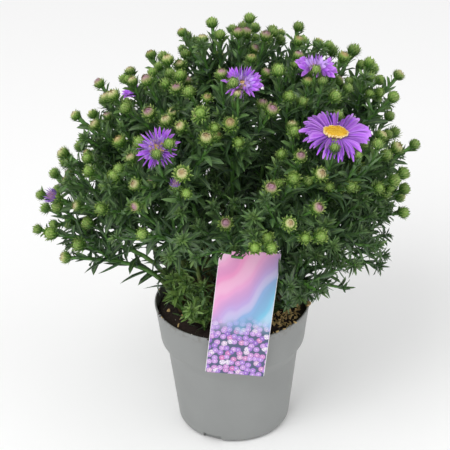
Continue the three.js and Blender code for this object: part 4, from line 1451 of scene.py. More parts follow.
def plant_kit(context, leaf="aster_leaf", fresh=0.0):
    """The shapes, sizes and materials that every leafy piece grows with."""
    plant = context.scene.aster_plant
    leaves = [blade_mesh(f"leaf_{i}", *shape) for i, shape in enumerate(LARGE_LEAVES)]
    leaves += [blade_mesh(f"small_leaf_{i}", *shape, FINE_STATIONS) for i, shape in enumerate(SMALL_LEAVES)]
    buds = [bud_mesh(f"bud_{i}", *shape) for i, (*shape, _) in enumerate(BUD_SHAPES)]
    return {
        "Leaf Shapes": shape_collection("leaf_shapes", leaves),
        "Bud Shapes": shape_collection("bud_shapes", buds),
        "Stem Sides": plant.stem_sides,
        "Leaf Width": plant.leaf_width,
        "Leaf Length": plant.leaf_length,
        "Bud Size": plant.bud_size,
        "Stem Material": known_material("aster_stem") or stem_material(plant),
        "Leaf Material": known_material(leaf) or leaf_material(leaf, plant, fresh),
        "Bud Material": known_material("aster_bud") or bud_material(),
    }


def known_material(name):
    return bpy.data.materials.get(name)


def grow_leafy(name, growth, kit, node):
    """Grows a leafy piece in the place of a node."""
    piece = grow(name, growth.mesh(node + "_growth"), shared("Leafy Growth", leafy_tree), kit)
    finish_piece(piece, node)


def drop_kit(kit):
    """Removes the shapes of a kit."""
    for name, part in kit.items():
        if name.endswith("Shapes"):
            drop_collection(part)


def clear_tip(end, heading, tips, gap, blooms):
    """How well a tip stands free, or None where it can't grow."""
    top = end + heading * BUD_HEIGHT
    fits = (
        in_crown(end)
        and clear_of_holder(end, BUD_RADIUS)
        and clear_of_holder(top, BUD_RADIUS)
        and inside_box(top, 3 * MM)
        and clear_of_blooms(top, blooms, BUD_RADIUS)
        and clear_of_blooms(end, blooms, BUD_RADIUS)
    )
    if not fits:
        return None
    nearest = min((end - tip).length for tip in tips)
    return nearest if nearest > gap else None


def grow_all_twigs(sprays, plant, blooms, taken):
    """Adds twigs to each stem in turn, where their tips stand the most free."""
    twigs = [modelled_twigs(spray) for spray in sprays]
    tips = [spray.tip for spray in sprays] + taken
    tips += [twig.end for found in twigs for twig in found]
    for j in range(TWIG.modelled, plant.twigs):
        for spray in sprays:
            best = None
            for attempt in range(TWIG.tries):
                share = 0.75 + 0.75 * chance(spray.index, j * 11 + attempt, 51)
                twig = grow_twig(spray, j, attempt, share)
                free = clear_tip(twig.end, twig.heading, tips, plant.twig_gap, blooms)
                if free and (best is None or free > best[0]):
                    best = (free, twig)
            if best:
                twigs[spray.index].append(best[1])
                tips.append(best[1].end)
    return twigs


def limb_of(path):
    """A limb that ends as its path does."""
    return Record(path=path, end=path.point(1), heading=path.frame(1).ahead)


def branch(root, end, heading, side, kind=None):
    """A twig that reaches its end along a heading."""
    bend = end - heading * 0.5 * (end - root).length
    return Record(path=Path([root, bend, end], side.normalized()), end=end, heading=heading, kind=kind)


def side_twig(spray, j, twig):
    """A short side shoot with its own bud on a twig."""
    spot = twig.path.frame(0.72)
    spin = 2 * pi * chance(spray.index, j, 61)
    out = around(spot, spin)
    heading = (twig.heading + out * 0.5).normalized()
    apart_ = lerp(9, 13, chance(spray.index, j, 62)) * MM
    lower = lerp(3, 9, chance(spray.index, j, 63)) * MM
    return branch(spot.at, twig.end + out * apart_ - twig.heading * lower, heading, twig.heading.cross(out))


def attendant_twigs(spray, blooms):
    """The twigs of the buds that stand by a stem's bloom."""
    made = []
    for owner, place, kind in ATTENDANTS:
        if owner == spray.index:
            end = blooms[owner][0] + Vector(place) * MM
            root = spray.path.point(0.72)
            heading = (UP + spray.toward * 0.3).normalized()
            made.append(branch(root, end, heading, heading.cross(end - spray.path.point(0.9)), kind))
    return made


def inner_shoots(spray, count, blooms):
    """Leafy shoots without buds, which fill the crown's inside."""
    made = []
    for k in range(count):
        spot = spray.path.frame(lerp(0.3, 0.84, (k + chance(spray.index, k, 91)) / count))
        spin = k * GOLDEN_ANGLE + 2 * pi * chance(spray.index, 92)
        out = around(spot, spin)
        heading = (spot.ahead * 0.8 + out * 0.7 + UP * 0.5).normalized()
        for length in (lerp(22, 42, chance(spray.index, k, 93)), 18):
            end = spot.at + (heading + out * 0.25) * length * MM
            free = clear_of_holder(end, 5 * MM) and clear_of_blooms(end, blooms, 4 * MM)
            if free and in_crown(end) and not unwanted(end):
                made.append(branch(spot.at, end, heading, heading.cross(out)))
                break
    return made


def is_airy(spray):
    """Whether a stem is one of those at the crown's lower left, which stand apart."""
    return spray.toward.x < -0.3 and spray.toward.z < 0.3


def trim(limb, least):
    """Ends a limb where it would be unwanted, and gives the share that is left."""
    steps = 20
    bad = [t for t in range(1, steps + 1) if unwanted(limb.path.point(t / steps))]
    if not bad:
        return 1.0
    left = max(least, (bad[0] - 3) / steps)
    if left > 0:
        limb.path = limb.path.shortened(left)
        limb.end = limb.path.point(1)
        limb.heading = limb.path.frame(1).ahead
    return left


def unwanted(place):
    """Whether a limb at a place would cover what the front view shows clear."""
    return hides_label(place, 3 * MM) or hangs_low(place) or hides_bark(place)


def bears_bud(spray, j, limb):
    """Whether a limb ends in a bud: few do that are low or at the front."""
    roll = chance(spray.index, j, 71)
    if spray.leafy:
        return roll > 0.86
    if j > TWIG.modelled:
        return roll < lerp(0.15, 0.8, smooth((limb.end.z - 150 * MM) / (90 * MM)))
    low_front = spray.toward.y < -0.3 and spray.toward.z < 0.2
    return j == 0 or not low_front or roll < 0.4


def grow_stem(growth, spray, twigs, tips, plant):
    """Grows one stem's limbs and what they end in."""
    index = spray.index
    sparse = 1.35 if is_airy(spray) else 1.0
    limbs = [Record(path=spray.path, end=spray.tip, heading=spray.end)] + twigs
    for j, limb in enumerate(limbs):
        left = trim(limb, 0.3 if j <= TWIG.modelled else 0)
        if left <= 0:
            continue
        budded = left == 1 and bears_bud(spray, j, limb)
        dress_limb(growth, index, j, limb.path, LONG_TWIG if j else MAIN_STEM, budded, sparse)
        if j == 0 and index < len(BLOOMS):
            cup = (cup_scale(BLOOMS[index]),) * 3
            growth.seat(BUD_KIND, CUP_SHAPE, limb.end, limb.heading, spray.path.side, cup, 0.6, 0.5)
        elif budded:
            seat_bud(growth, index, j, limb)
        else:
            # A tuft's young colour and tone are dimmed low in the crown by painted shade.
            dress_tuft(growth, index, j, limb, fresh=0.7 * painted_daylight(limb.end))
        if j and budded and limb.end.z > 190 * MM and chance(index, j, 64) < plant.side_bud_share:
            extra = side_twig(spray, j, limb)
            if clear_tip(extra.end, extra.heading, tips, 9 * MM, growth.blooms):
                tips.append(extra.end)
                dress_limb(growth, index, j + SIDE_LIMBS, extra.path, SIDE_TWIG, True)
                seat_bud(growth, index, j + SIDE_LIMBS, extra)


def seat_bud(growth, index, j, limb, kind=None):
    """Seats a bud at a limb's end, of a given kind or one drawn by its share."""
    shape = pick_bud(chance(index, j, 72), opening_share(limb.end)) if kind is None else kind
    size = lerp(0.8, 1.08, chance(index, j, 5)) * (0.85 if j >= SIDE_LIMBS else 1.0)
    spin = 2 * pi * chance(index, j, 73)
    side = Matrix.Rotation(spin, 3, limb.heading) @ limb.path.side
    growth.seat(BUD_KIND, shape, limb.end, limb.heading, side, (size,) * 3, chance(index, j, 74), 0.5)


class ASTER_OT_leafy_stems(bpy.types.Operator):
    """Grow the leafy stems of the crown with their twigs, leaves and buds"""

    bl_idname = "aster.leafy_stems"
    bl_label = "Leafy stems"

    def execute(self, context):
        plant = context.scene.aster_plant
        sprays = all_sprays()
        if {spray.name for spray in sprays} != {name for name in NODES if name.startswith("leafy_stem_")}:
            raise RuntimeError("the growth rule no longer matches the fixed model's leafy stems")
        blooms = bloom_places(sprays)
        attendants = [attendant_twigs(spray, blooms) for spray in sprays]
        twigs = grow_all_twigs(sprays, plant, blooms, [t.end for found in attendants for t in found])
        tips = [spray.tip for spray in sprays] + [t.end for found in twigs for t in found]
        kit = plant_kit(context)
        for spray, limbs, beside in zip(sprays, twigs, attendants):
            growth = Growth(blooms)
            grow_stem(growth, spray, limbs, tips, plant)
            for j, twig in enumerate(beside, BLOOM_LIMBS):
                dress_limb(growth, spray.index, j, twig.path, BLOOM_TWIG, True)
                seat_bud(growth, spray.index, j, twig, twig.kind)
            shoots = [] if is_airy(spray) else inner_shoots(spray, plant.inner_shoots, blooms)
            for j, shoot in enumerate(shoots, INNER_LIMBS):
                dress_limb(growth, spray.index, j, shoot.path, INNER_SHOOT, False)
                dress_tuft(growth, spray.index, j, shoot, 14, 0.2)
            grow_leafy(f"stem_{spray.index + 1:02d}_foliage", growth, kit, spray.name)
        drop_kit(kit)
        return {"FINISHED"}


def add_sprouts(growth, i, path, count):
    """Side sprouts of a basal shoot, each with its own rosette."""
    for j in range(count):
        spot = path.frame(lerp(0.5, 0.9, chance(i, j, 80)))
        out = around(spot, j * GOLDEN_ANGLE + pi * chance(i, 81))
        out.z = 0
        end = spot.at + out * lerp(7, 17, chance(i, j, 82)) * MM + UP * lerp(5, 34, (j + 0.5) / count) * MM
        if clear_of_holder(end, 2 * MM) and not hides_label(end, 3 * MM):
            bend = spot.at.lerp(end, 0.5) - UP * 2 * MM
            sprout = limb_of(Path([spot.at, bend, end], out.cross(UP).normalized()))
            dress_limb(growth, SHOOT_SEED + i, j + 1, sprout.path, SPROUT, False)
            dress_tuft(growth, SHOOT_SEED + i, j + 1, sprout, 20, 0.85)


class ASTER_OT_basal_shoots(bpy.types.Operator):
    """Grow the short leafy shoots round the plant's foot"""

    bl_idname = "aster.basal_shoots"
    bl_label = "Basal shoots"

    def execute(self, context):
        # The basal shoots' leaves get painted light: their material takes at least 0.6 of the young colour,
        # to stay bright in the crown's shade.
        kit = plant_kit(context, "aster_fresh_leaf", 0.6)
        for i, azimuth in enumerate(SHOOT_AZIMUTHS):
            out = direction(radians(azimuth))
            foot = out * SHOOT_RING + UP * (SOIL_EDGE - CROWN.root_depth)
            tip = foot + out * SHOOT_REACH
            tip.z = SOIL_EDGE + SHOOT_HEIGHT * (0.7 + 0.5 * chance(i, 21))
            bend = Vector((foot.x, foot.y, lerp(foot.z, tip.z, 0.6)))
            shoot = limb_of(Path([foot, bend, tip], Vector((-out.y, out.x, 0))))
            growth = Growth()
            bare = -90 < azimuth < 0
            dress_limb(growth, SHOOT_SEED + i, 0, shoot.path, BARE_SHOOT if bare else BASAL_SHOOT, False)
            dress_tuft(growth, SHOOT_SEED + i, 0, shoot, 9 if bare else 24, 0.9, 0.55 if bare else 1.1)
            add_sprouts(growth, i, shoot.path, 0 if bare else 8 if azimuth < -90 else 2)
            grow_leafy(f"shoot_{i + 1}_foliage", growth, kit, f"basal_shoot_{i + 1}")
        drop_kit(kit)
        return {"FINISHED"}


# Bend, twist, fold and foot of the blunt rays, and bend, twist, fold and power of the wavy ones.
BLUNT_RAYS = ((0.2, 0, 0.11, 0.55), (0.4, 0.3, 0.08, 0.55), (0.1, -0.35, 0.1, 0.5), (0.6, 0, 0.12, 0.5))
WAVY_RAYS = (
    (0.5, 0.5, 0.05, 1.1), (-0.6, -0.4, 0.06, 1.1), (0.9, -0.6, 0.05, 1.15), (-0.25, 0.3, 0.06, 1.1),
)
RAY_LAYERS = 3
RAY_FOOT = 0.72
FLORET_SHAPES = 3
FLORET_SIDES = 10
HUB_SIDES = 24
FLORET_SPACING = 1.05 * MM


def floret_mesh(name, tilt):
    """A small tube of a disc floret with a star-shaped mouth."""
    stations = ((0.0, 0.34), (0.62, 0.36), (0.9, 0.52), (0.8, 0.26), (0.62, 0.0))
    rings = [lathe_ring(radius, height, FLORET_SIDES) for height, radius in stations]
    for ring in rings[2:4]:
        ring[::2] = [p * 0.72 + UP * p.z * 0.28 for p in ring[::2]]
    along = [[height] * len(ring) for (height, _), ring in zip(stations, rings)]
    mesh = Shape().add(rings, along=along).mesh(name)
    mesh.transform(Matrix.Rotation(tilt, 4, "X"))
    return mesh


def dome_height(share):
    """The disc's dome, from 1 in the middle to 0 at its edge."""
    return sqrt(max(0.0, 1 - share ** 2.2))


def bloom_carrier(name, axes, profile, growth):
    """A body turned about the bloom's axis and the seats, in one mesh."""
    def placed(p):
        return axes.at + axes.across * p.x + axes.over * p.y + axes.ahead * p.z

    rings = [[placed(p) for p in lathe_ring(*row, HUB_SIDES)] for row in profile]
    body = [tuple(p) for ring in rings for p in ring]
    mesh = bpy.data.meshes.new(name)
    mesh.from_pydata(body + growth.points, [], skin(rings))
    store_rows(mesh, [PLAIN_POINT] * len(body) + growth.rows)
    return mesh


def ray_rings(bloom, hub, rays):
    """The layers of rays: how many, how far they stand up, their foot, length and width."""
    widest = max(b.diameter for b in BLOOMS)
    count = round(rays * sqrt(bloom.diameter / widest))
    layers = RAY_LAYERS - 1 if bloom.inner else RAY_LAYERS
    rings = [(count - 3 * k, bloom.stand + 7 * k, hub * RAY_FOOT, (0.5 + 0.45 * k) * MM, 1.02 - 0.09 * k, 1.0)
             for k in range(layers)]
    if bloom.inner:
        rings.append((bloom.inner, 58, hub * 0.6, HUB_HEIGHT, 0.72, 0.8))
        rings.append((bloom.inner, 74, hub * 0.4, HUB_HEIGHT + 0.4 * MM, 0.55, 0.7))
    return layers, rings


def ray_growth(i, bloom, axes, hub, look):
    """The seats of the rays in their layers."""
    growth = Growth()
    layers, rings = ray_rings(bloom, hub, look.rays)
    wavy = bloom.inner > 0
    for layer, (seats, stand, root_radius, rise, share, slim) in enumerate(rings):
        for k in range(seats):
            roll = [chance(RAY_SEED + i, layer * 60 + k, 90 + n) for n in range(5)]
            out = around(axes, 2 * pi * (k + 0.5 * layer + 0.45 * (roll[0] - 0.5)) / seats)
            wave = (36 if wavy else 15) * (roll[1] - 0.5)
            lift = radians(stand - bloom.droop * max(0.0, -out.y) + wave)
            inner = layer >= layers
            growth.seat_leaf(
                int(roll[4] * 3.99) + (len(BLUNT_RAYS) if wavy else 0),
                axes.at + out * root_radius + axes.ahead * rise,
                out * cos(lift) + axes.ahead * sin(lift),
                axes.ahead * cos(lift) - out * sin(lift),
                look.ray_width * (0.8 + 0.4 * roll[3]) * slim * (0.68 if wavy else 1),
                (bloom.diameter / 2 - hub * RAY_FOOT) * share * (0.88 + 0.2 * roll[2]),
                # Painted shade: the tone drops 0.3 a layer, so each later layer is darker and the overlapping
                # layers stand apart.
                roll[2] if inner else max(0, 0.35 + 0.65 * roll[2] - 0.3 * layer),
                0.8 if inner else 0.0,
            )
    bed = ((0, 0), (hub * 0.7, 0.1 * MM), (hub * 0.95, 0.7 * MM), (hub * 0.9, HUB_HEIGHT), (0, HUB_HEIGHT))
    return bloom_carrier(f"bloom_{i + 1}_rays_growth", axes, bed, growth)


def disc_growth(i, bloom, axes, hub):
    """The seats of the florets, which lean out towards the disc's edge."""
    growth = Growth()
    radius = hub * DISC_SHARE
    foot = HUB_HEIGHT + GAP
    dome = DISC_HEIGHT - 1.0 * MM
    seats = int((radius / FLORET_SPACING) ** 2 * 3.4)
    for k in range(seats):
        share = sqrt((k + 0.5) / seats)
        out = around(axes, k * GOLDEN_ANGLE)
        lean = 0.75 * share ** 3
        height = foot + dome * dome_height(share * 0.96) - 0.25 * MM
        growth.seat_leaf(
            k % FLORET_SHAPES,
            axes.at + out * radius * 0.93 * share + axes.ahead * height,
            axes.ahead * cos(lean) + out * sin(lean),
            axes.across,
            FLORET_SPACING * lerp(0.8, 1.15, share),
            lerp(0.9, 2.3, share ** 2) * MM * (0.8 + 0.4 * chance(FLORET_SEED + i, k, 1)),
            0.5,
            0.7 if bloom.inner else smooth((share - 0.84) / 0.14),
        )
    slope = [(radius * 0.93 * s, foot + dome * dome_height(s)) for s in (0.98, 0.85, 0.65, 0.4)]
    profile = [(0, foot), (radius * 0.9, foot), *slope, (0, foot + dome)]
    return bloom_carrier(f"bloom_{i + 1}_disc_growth", axes, profile, growth)


class ASTER_OT_blooms(bpy.types.Operator):
    """Build the open daisies: rays on a hub, and a dome of disc florets"""

    bl_idname = "aster.blooms"
    bl_label = "Blooms"

    def execute(self, context):
        look = context.scene.aster_bloom
        blunt = [blade_mesh("blunt_ray", *shape, RAY_STATIONS, foot) for *shape, foot in BLUNT_RAYS]
        wavy = [blade_mesh("wavy_ray", *shape, LEAF_STATIONS, 0.5, power) for *shape, power in WAVY_RAYS]
        rays = shape_collection("ray_shapes", blunt + wavy)
        tubes = [floret_mesh(f"floret_{i}", 0.08 * (i - 1)) for i in range(FLORET_SHAPES)]
        florets = shape_collection("floret_shapes", tubes)
        hub_green = two_tone_material("aster_hub", 0.6, 500.0, rgb("6f8f3a"), rgb("a9b851"))
        ray_kit = {"Shapes": rays, "Body Material": hub_green, "Shape Material": ray_material(look)}
        disc = disc_material(look)
        floret_kit = {"Shapes": florets, "Body Material": disc, "Shape Material": disc}
        tree = shared("Seated Shapes", seated_tree)
        for i, (bloom, spray) in enumerate(zip(BLOOMS, all_sprays())):
            name = f"bloom_{i + 1}"
            axes = axes_at(cup_top(bloom, spray), spray.end, spray.path.side)
            hub = HUB_RADIUS * (bloom.diameter / BLOOM_SCALE_DIAMETER) ** HUB_GROWTH + HUB_MARGIN
            piece = grow(name + "_ray_florets", ray_growth(i, bloom, axes, hub, look), tree, ray_kit)
            finish_piece(piece, name + "_rays")
            piece = grow(name + "_disc_florets", disc_growth(i, bloom, axes, hub), tree, floret_kit)
            finish_piece(piece, name + "_disc")
        drop_collection(rays)
        drop_collection(florets)
        return {"FINISHED"}


def arc(centre, radius, first, last, steps):
    """Points of an arc in a profile, its angles in degrees."""
    turns = [radians(lerp(first, last, k / steps)) for k in range(steps + 1)]
    return [(centre[0] + radius * cos(a), centre[1] + radius * sin(a)) for a in turns]


def pot_profile(lip):
    """The pot's section: out from its foot, up to the rim and down inside."""
    flared = RIM_RADIUS - 0.35 * MM
    return [
        (0, 0),
        *arc((FOOT_RADIUS - FOOT_ROUND, FOOT_ROUND), FOOT_ROUND, -90, 0, 8),
        *((lerp(FOOT_RADIUS, BODY_TOP_RADIUS, s), lerp(FOOT_ROUND, SHOULDER, s)) for s in POT_WALL_STEPS),
        (BODY_TOP_RADIUS + 0.25 * MM, SHOULDER + 0.7 * MM),
        (COLLAR_FOOT_RADIUS - 0.7 * MM, COLLAR_FOOT - 1.2 * MM),
        (COLLAR_FOOT_RADIUS - 0.2 * MM, COLLAR_FOOT - 0.3 * MM),
        *((lerp(COLLAR_FOOT_RADIUS, flared, s), COLLAR_FOOT + COLLAR_HEIGHT * s) for s in (0.03, 0.5)),
        (flared, POT_HEIGHT - lip - 0.5 * MM),
        (RIM_RADIUS, POT_HEIGHT - lip),
        *arc((RIM_RADIUS - WALL / 2, POT_HEIGHT - WALL / 2), WALL / 2, 0, 180, 8),
        (RIM_RADIUS - WALL, POT_HEIGHT - lip),
        (COLLAR_FOOT_RADIUS - WALL, COLLAR_FOOT),
        (BODY_TOP_RADIUS - WALL, SHOULDER),
        (FOOT_RADIUS - WALL, FOOT_ROUND),
        (FOOT_RADIUS - FOOT_ROUND, WALL),
        (0, WALL),
    ]


def lathe(name, profile, sides):
    """A closed mesh turned about Z from a section."""
    return Shape().add([lathe_ring(r, z, sides) for r, z in profile]).mesh(name)


def cut(name, mesh, cutters):
    """A mesh less its cutters, as a plain object."""
    piece = link(bpy.data.objects.new(name, mesh))
    tools = shape_collection(name + "_cutters", cutters)
    modifier = piece.modifiers.new("Holes", "BOOLEAN")
    modifier.operand_type = "COLLECTION"
    modifier.collection = tools
    modifier.solver = "EXACT"
    make_plain(piece)
    drop_collection(tools)
    return piece


def sharpen(mesh, fold=radians(40)):
    """Shades a mesh smooth apart from its sharp folds."""
    mesh.shade_smooth()
    with editing(mesh) as bm:
        for edge in bm.edges:
            edge.smooth = len(edge.link_faces) == 2 and edge.calc_face_angle(0) < fold


def shade(colour, gain):
    """A colour made darker or lighter."""
    return tuple(min(1.0, c * gain) for c in colour[:3]) + (1.0,)


def pot_material(pot):
    """Satin grey plastic with a little soil dust near the rim."""
    made, tree, shader = new_material("pot_plastic", 0.5)
    mottle = mottled(tree, 28.0, 0.4)
    plastic = mix(mottle, shade(pot.colour, 0.95), shade(pot.colour, 1.06))
    place = add(tree, "ShaderNodeSeparateXYZ", {0: add(tree, "ShaderNodeTexCoord").outputs["Object"]})
    near_rim = ease(place.outputs[2], POT_HEIGHT - 9 * MM, POT_HEIGHT)
    specks = mottled(tree, 330.0, 1.25)
    dust = times(times(near_rim, ease(specks, 0.5, 1.0)), 0.3)
    dusty = mix(dust, plastic, pot.dirt)
    feed(shader, {"Base Color": dusty, "Roughness": ease(mottle, 0.0, 1.0, 0.46, 0.56)})
    grained(shader, 1400.0, 0.05 * MM, 0.35)
    return made


def pot_cutters(pot):
    """The blocks that cut the notches and the drums that cut the drain holes."""
    made = []
    for k in range(3):
        turn = Matrix.Rotation(NOTCH_AZIMUTH + 2 * pi * k / 3, 4, "Z")
        size = Matrix.Diagonal((18 * MM, pot.notch_width, 2 * pot.notch_height, 1))
        block = bpy.data.meshes.new("notch_block")
        with editing(block) as bm:
            place = turn @ Matrix.Translation((FOOT_RADIUS + 4.5 * MM, 0, 0)) @ size
            bmesh.ops.create_cube(bm, size=1.0, matrix=place)
        made.append(block)
    for k in range(5):
        drum = lathe("drain_drum", [(pot.drain_radius, z * MM) for z in (-3, 3)], 24)
        drum.transform(Matrix.Rotation(2 * pi * k / 5, 4, "Z") @ Matrix.Translation((24 * MM, 0, 0)))
        made.append(drum)
    return made


class ASTER_OT_pot(bpy.types.Operator):
    """Build the nursery pot with its collar, lip, foot notches and drain holes"""

    bl_idname = "aster.pot"
    bl_label = "Pot"

    def execute(self, context):
        pot = context.scene.aster_pot
        shell = lathe("pot_shell", pot_profile(pot.lip), pot.sides)
        piece = cut("pot_shell", shell, pot_cutters(pot))
        sharpen(piece.data)
        piece.data.materials.clear()
        piece.data.materials.append(pot_material(pot))
        finish_piece(piece, "pot")
        return {"FINISHED"}


def lump_mesh(name, seed, stretch):
    """An irregular crumb about 1 across."""
    mesh = bpy.data.meshes.new(name)
    with editing(mesh) as bm:
        bmesh.ops.create_icosphere(bm, subdivisions=1, radius=0.5)
        for vertex in bm.verts:
            push = 0.75 + 0.55 * noise.noise(vertex.co * 2.3 + Vector((seed * 3.1, seed, 0)))
            vertex.co = Vector(c * s for c, s in zip(vertex.co * push, stretch))
    return mesh


# The kinds of crumb: name, proportions, and how far their tones differ.
CRUMBS = (
    ("Peat", (1.0, 0.85, 0.75), 0.55), ("Bark", (1.25, 0.8, 0.45), 0.5), ("Perlite", (1.0, 0.9, 0.9), 0.1),
)
CRUMB_KINDS = [kind for kind, _, _ in CRUMBS]
LUMP_SHAPES = 4


def scatter_tree(name):
    """Scatters crumbs of three kinds over the soil and joins them with it."""
    sizes = {}
    for kind in CRUMB_KINDS:
        sizes.update({f"{kind} Size": 1 * MM, f"{kind} Density": 1000.0, f"{kind} Seed": 1})
    tree, given = new_growth_tree(
        name, [f"{kind} Shapes" for kind in CRUMB_KINDS], sizes,
        ["Soil Material"] + [f"{kind} Material" for kind in CRUMB_KINDS],
    )

    def random(kind, seed, links=None):
        return add(tree, "FunctionNodeRandomValue", {"Seed": seed, **(links or {})}, data_type=kind).outputs

    branches = [with_material(tree, given["Geometry"], given["Soil Material"])]
    for kind in CRUMB_KINDS:
        spots = add(tree, "GeometryNodeDistributePointsOnFaces", {
            "Mesh": given["Geometry"],
            "Density": times(given[f"{kind} Density"], field(tree, kind.lower())),
            "Seed": given[f"{kind} Seed"],
        })
        spin = random("FLOAT_VECTOR", 7, {1: (2 * pi,) * 3})[0]
        grade = random("FLOAT", 9, {2: 0.55, 3: 1.45})[1]
        placed = instances(
            tree, spots.outputs[0], given[f"{kind} Shapes"],
            Rotation=add(tree, "FunctionNodeEulerToRotation", {0: spin}).outputs[0],
            Scale=times(grade, given[f"{kind} Size"]),
        )
        tone = {"Geometry": placed, "Name": "tone", "Value": random("FLOAT", 11)[1]}
        toned = add(tree, "GeometryNodeStoreNamedAttribute", tone, data_type="FLOAT", domain="INSTANCE")
        branches.append(realized(tree, toned.outputs[0], given[f"{kind} Material"]))
    return join(tree, *branches)


def crumb_material(name, colour, spread, roughness):
    """Loose matter whose crumbs differ in tone."""
    made, tree, shader = new_material(name, roughness)
    share = times(mottled(tree, 600.0, 0.7), 0.4)
    share = times_plus(attribute(tree, "tone"), 0.6, share)
    paint(shader, mix(share, shade(colour, 1 - spread), shade(colour, 1 + spread)))
    grained(shader, 1800.0, 0.3 * MM, 0.7)
    return made


# Crumbs on the rim: azimuth in degrees, distance outwards from its middle, kind and scale.
RIM_CRUMBS = (
    (-160, 0.2, 0, 2.2), (-157, 0.6, 0, 1.6), (-154, 0.4, 1, 0.7), (-150, 0.1, 0, 1.2), (-121, 0.2, 2, 1.3),
    (-108, 0.6, 0, 2.0), (-106.5, 0.9, 0, 2.4), (-105, 0.9, 0, 2.6), (-103.5, 0.7, 1, 0.9),
    (-102, 0.8, 0, 1.8), (-56, -0.3, 1, 0.8), (-50, 0.1, 1, 0.7), (-44, -0.2, 2, 1), (-38, 0.1, 1, 0.8),
    (-12, 0.2, 1, 1.2), (-9, 0.5, 1, 1.6), (-7, 0.3, 0, 2), (35, 0.1, 0, 1), (80, 0.2, 1, 0.6),
    (130, 0.3, 0, 1), (165, 0, 1, 0.6),
)


def soil_body(spokes=96, rings=30):
    """The filled body: the pot's inside below, and a crumbly top."""
    top = inner_radius(SOIL_EDGE) - GAP
    floor = WALL + GAP
    levels = [
        (0, floor),
        (FOOT_RADIUS - FOOT_ROUND - GAP, floor),
        (inner_radius(FOOT_ROUND) - 2 * GAP, FOOT_ROUND + 2 * GAP),
        (inner_radius(SHOULDER) - 2 * GAP, SHOULDER),
        (inner_radius(COLLAR_FOOT) - 2 * GAP, COLLAR_FOOT),
        (top, SOIL_EDGE - 1.5 * MM),
    ]
    skin_rings = [lathe_ring(r, z, spokes) for r, z in levels]
    masks = [[0.0] * len(ring) for ring in skin_rings]
    for k in range(rings, 0, -1):
        radius = (top - 0.5 * MM) * k / rings
        ring = lathe_ring(radius, 0, spokes)
        for p in ring:
            rough = noise.noise(p * 190) * 1.1 * MM + noise.noise(p * 620) * 0.5 * MM
            p.z = soil_height(p.x, p.y) + rough * smooth((top - radius) / (6 * MM))
        skin_rings.append(ring)
        masks.append([1.0 if k < rings - 1 else 0.0] * spokes)
    skin_rings.append([Vector((0, 0, soil_height(0, 0)))])
    masks.append([1.0])
    bark = [[m * bark_share(p) for m, p in zip(row, ring)] for row, ring in zip(masks, skin_rings)]
    mesh = Shape().add(skin_rings, peat=masks, bark=bark, perlite=masks, tone=0.3).mesh("soil_body")
    mesh.shade_smooth()
    return mesh


def bark_share(p):
    """How much bark lies at a place: most at the front right, little elsewhere."""
    near = 1 - min(1.0, (p.xy - BARK_SPOT).length / (30 * MM))
    return 0.12 + 4 * smooth(near)


def add_rim_crumbs(mesh, kit):
    """Puts a few crumbs on the pot's rim."""
    slots = [mesh.materials.find(kit[f"{kind} Material"].name) for kind in CRUMB_KINDS]
    with editing(mesh) as bm:
        tone = bm.verts.layers.float["tone"]
        for i, (azimuth, out, kind, scale) in enumerate(RIM_CRUMBS):
            name = CRUMB_KINDS[kind]
            source = kit[f"{name} Shapes"].objects[i % LUMP_SHAPES].data
            radius = RIM_RADIUS - WALL / 2 + out * MM
            size = kit[f"{name} Size"] * scale * (0.9 + 0.4 * chance(i, 5, 3))
            low = 0.3 if out < 0.6 else -0.5
            angle = radians(azimuth)
            place = Vector((radius * cos(angle), radius * sin(angle), POT_HEIGHT + low * MM))
            spin = Matrix.Rotation(6 * chance(i, 5, 4), 4, "Z")
            tilt = Matrix.Rotation(0.6 * chance(i, 5, 6), 4, "X")
            matrix = Matrix.Translation(place) @ (spin @ tilt) @ Matrix.Scale(size, 4)
            made = [bm.verts.new(matrix @ v.co) for v in source.vertices]
            for vertex in made:
                vertex[tone] = chance(i, 5, 7)
            for polygon in source.polygons:
                bm.faces.new([made[v] for v in polygon.vertices]).material_index = slots[kind]


class ASTER_OT_soil(bpy.types.Operator):
    """Build the soil with peat crumbs, bark pieces and perlite on top"""

    bl_idname = "aster.soil"
    bl_label = "Soil"

    def execute(self, context):
        soil = context.scene.aster_soil
        kit = {"Soil Material": crumb_material("peat_bed", soil.peat_colour, 0.4, 0.95)}
        for seed, (kind, stretch, spread) in enumerate(CRUMBS):
            low = kind.lower()
            shapes = [lump_mesh(f"{low}_{i}", seed * 7 + i, stretch) for i in range(LUMP_SHAPES)]
            kit[f"{kind} Shapes"] = shape_collection(low + "_shapes", shapes)
            kit[f"{kind} Size"] = getattr(soil, low)
            kit[f"{kind} Density"] = getattr(soil, low + "_density")
            kit[f"{kind} Seed"] = seed + 3
            colour = getattr(soil, low + "_colour")
            kit[f"{kind} Material"] = crumb_material(low + "_crumb", colour, spread, 0.9)
        piece = grow("soil_bed", soil_body(), shared("Crumb Scatter", scatter_tree), kit)
        add_rim_crumbs(piece.data, kit)
        drop_kit(kit)
        finish_piece(piece, "soil")
        return {"FINISHED"}


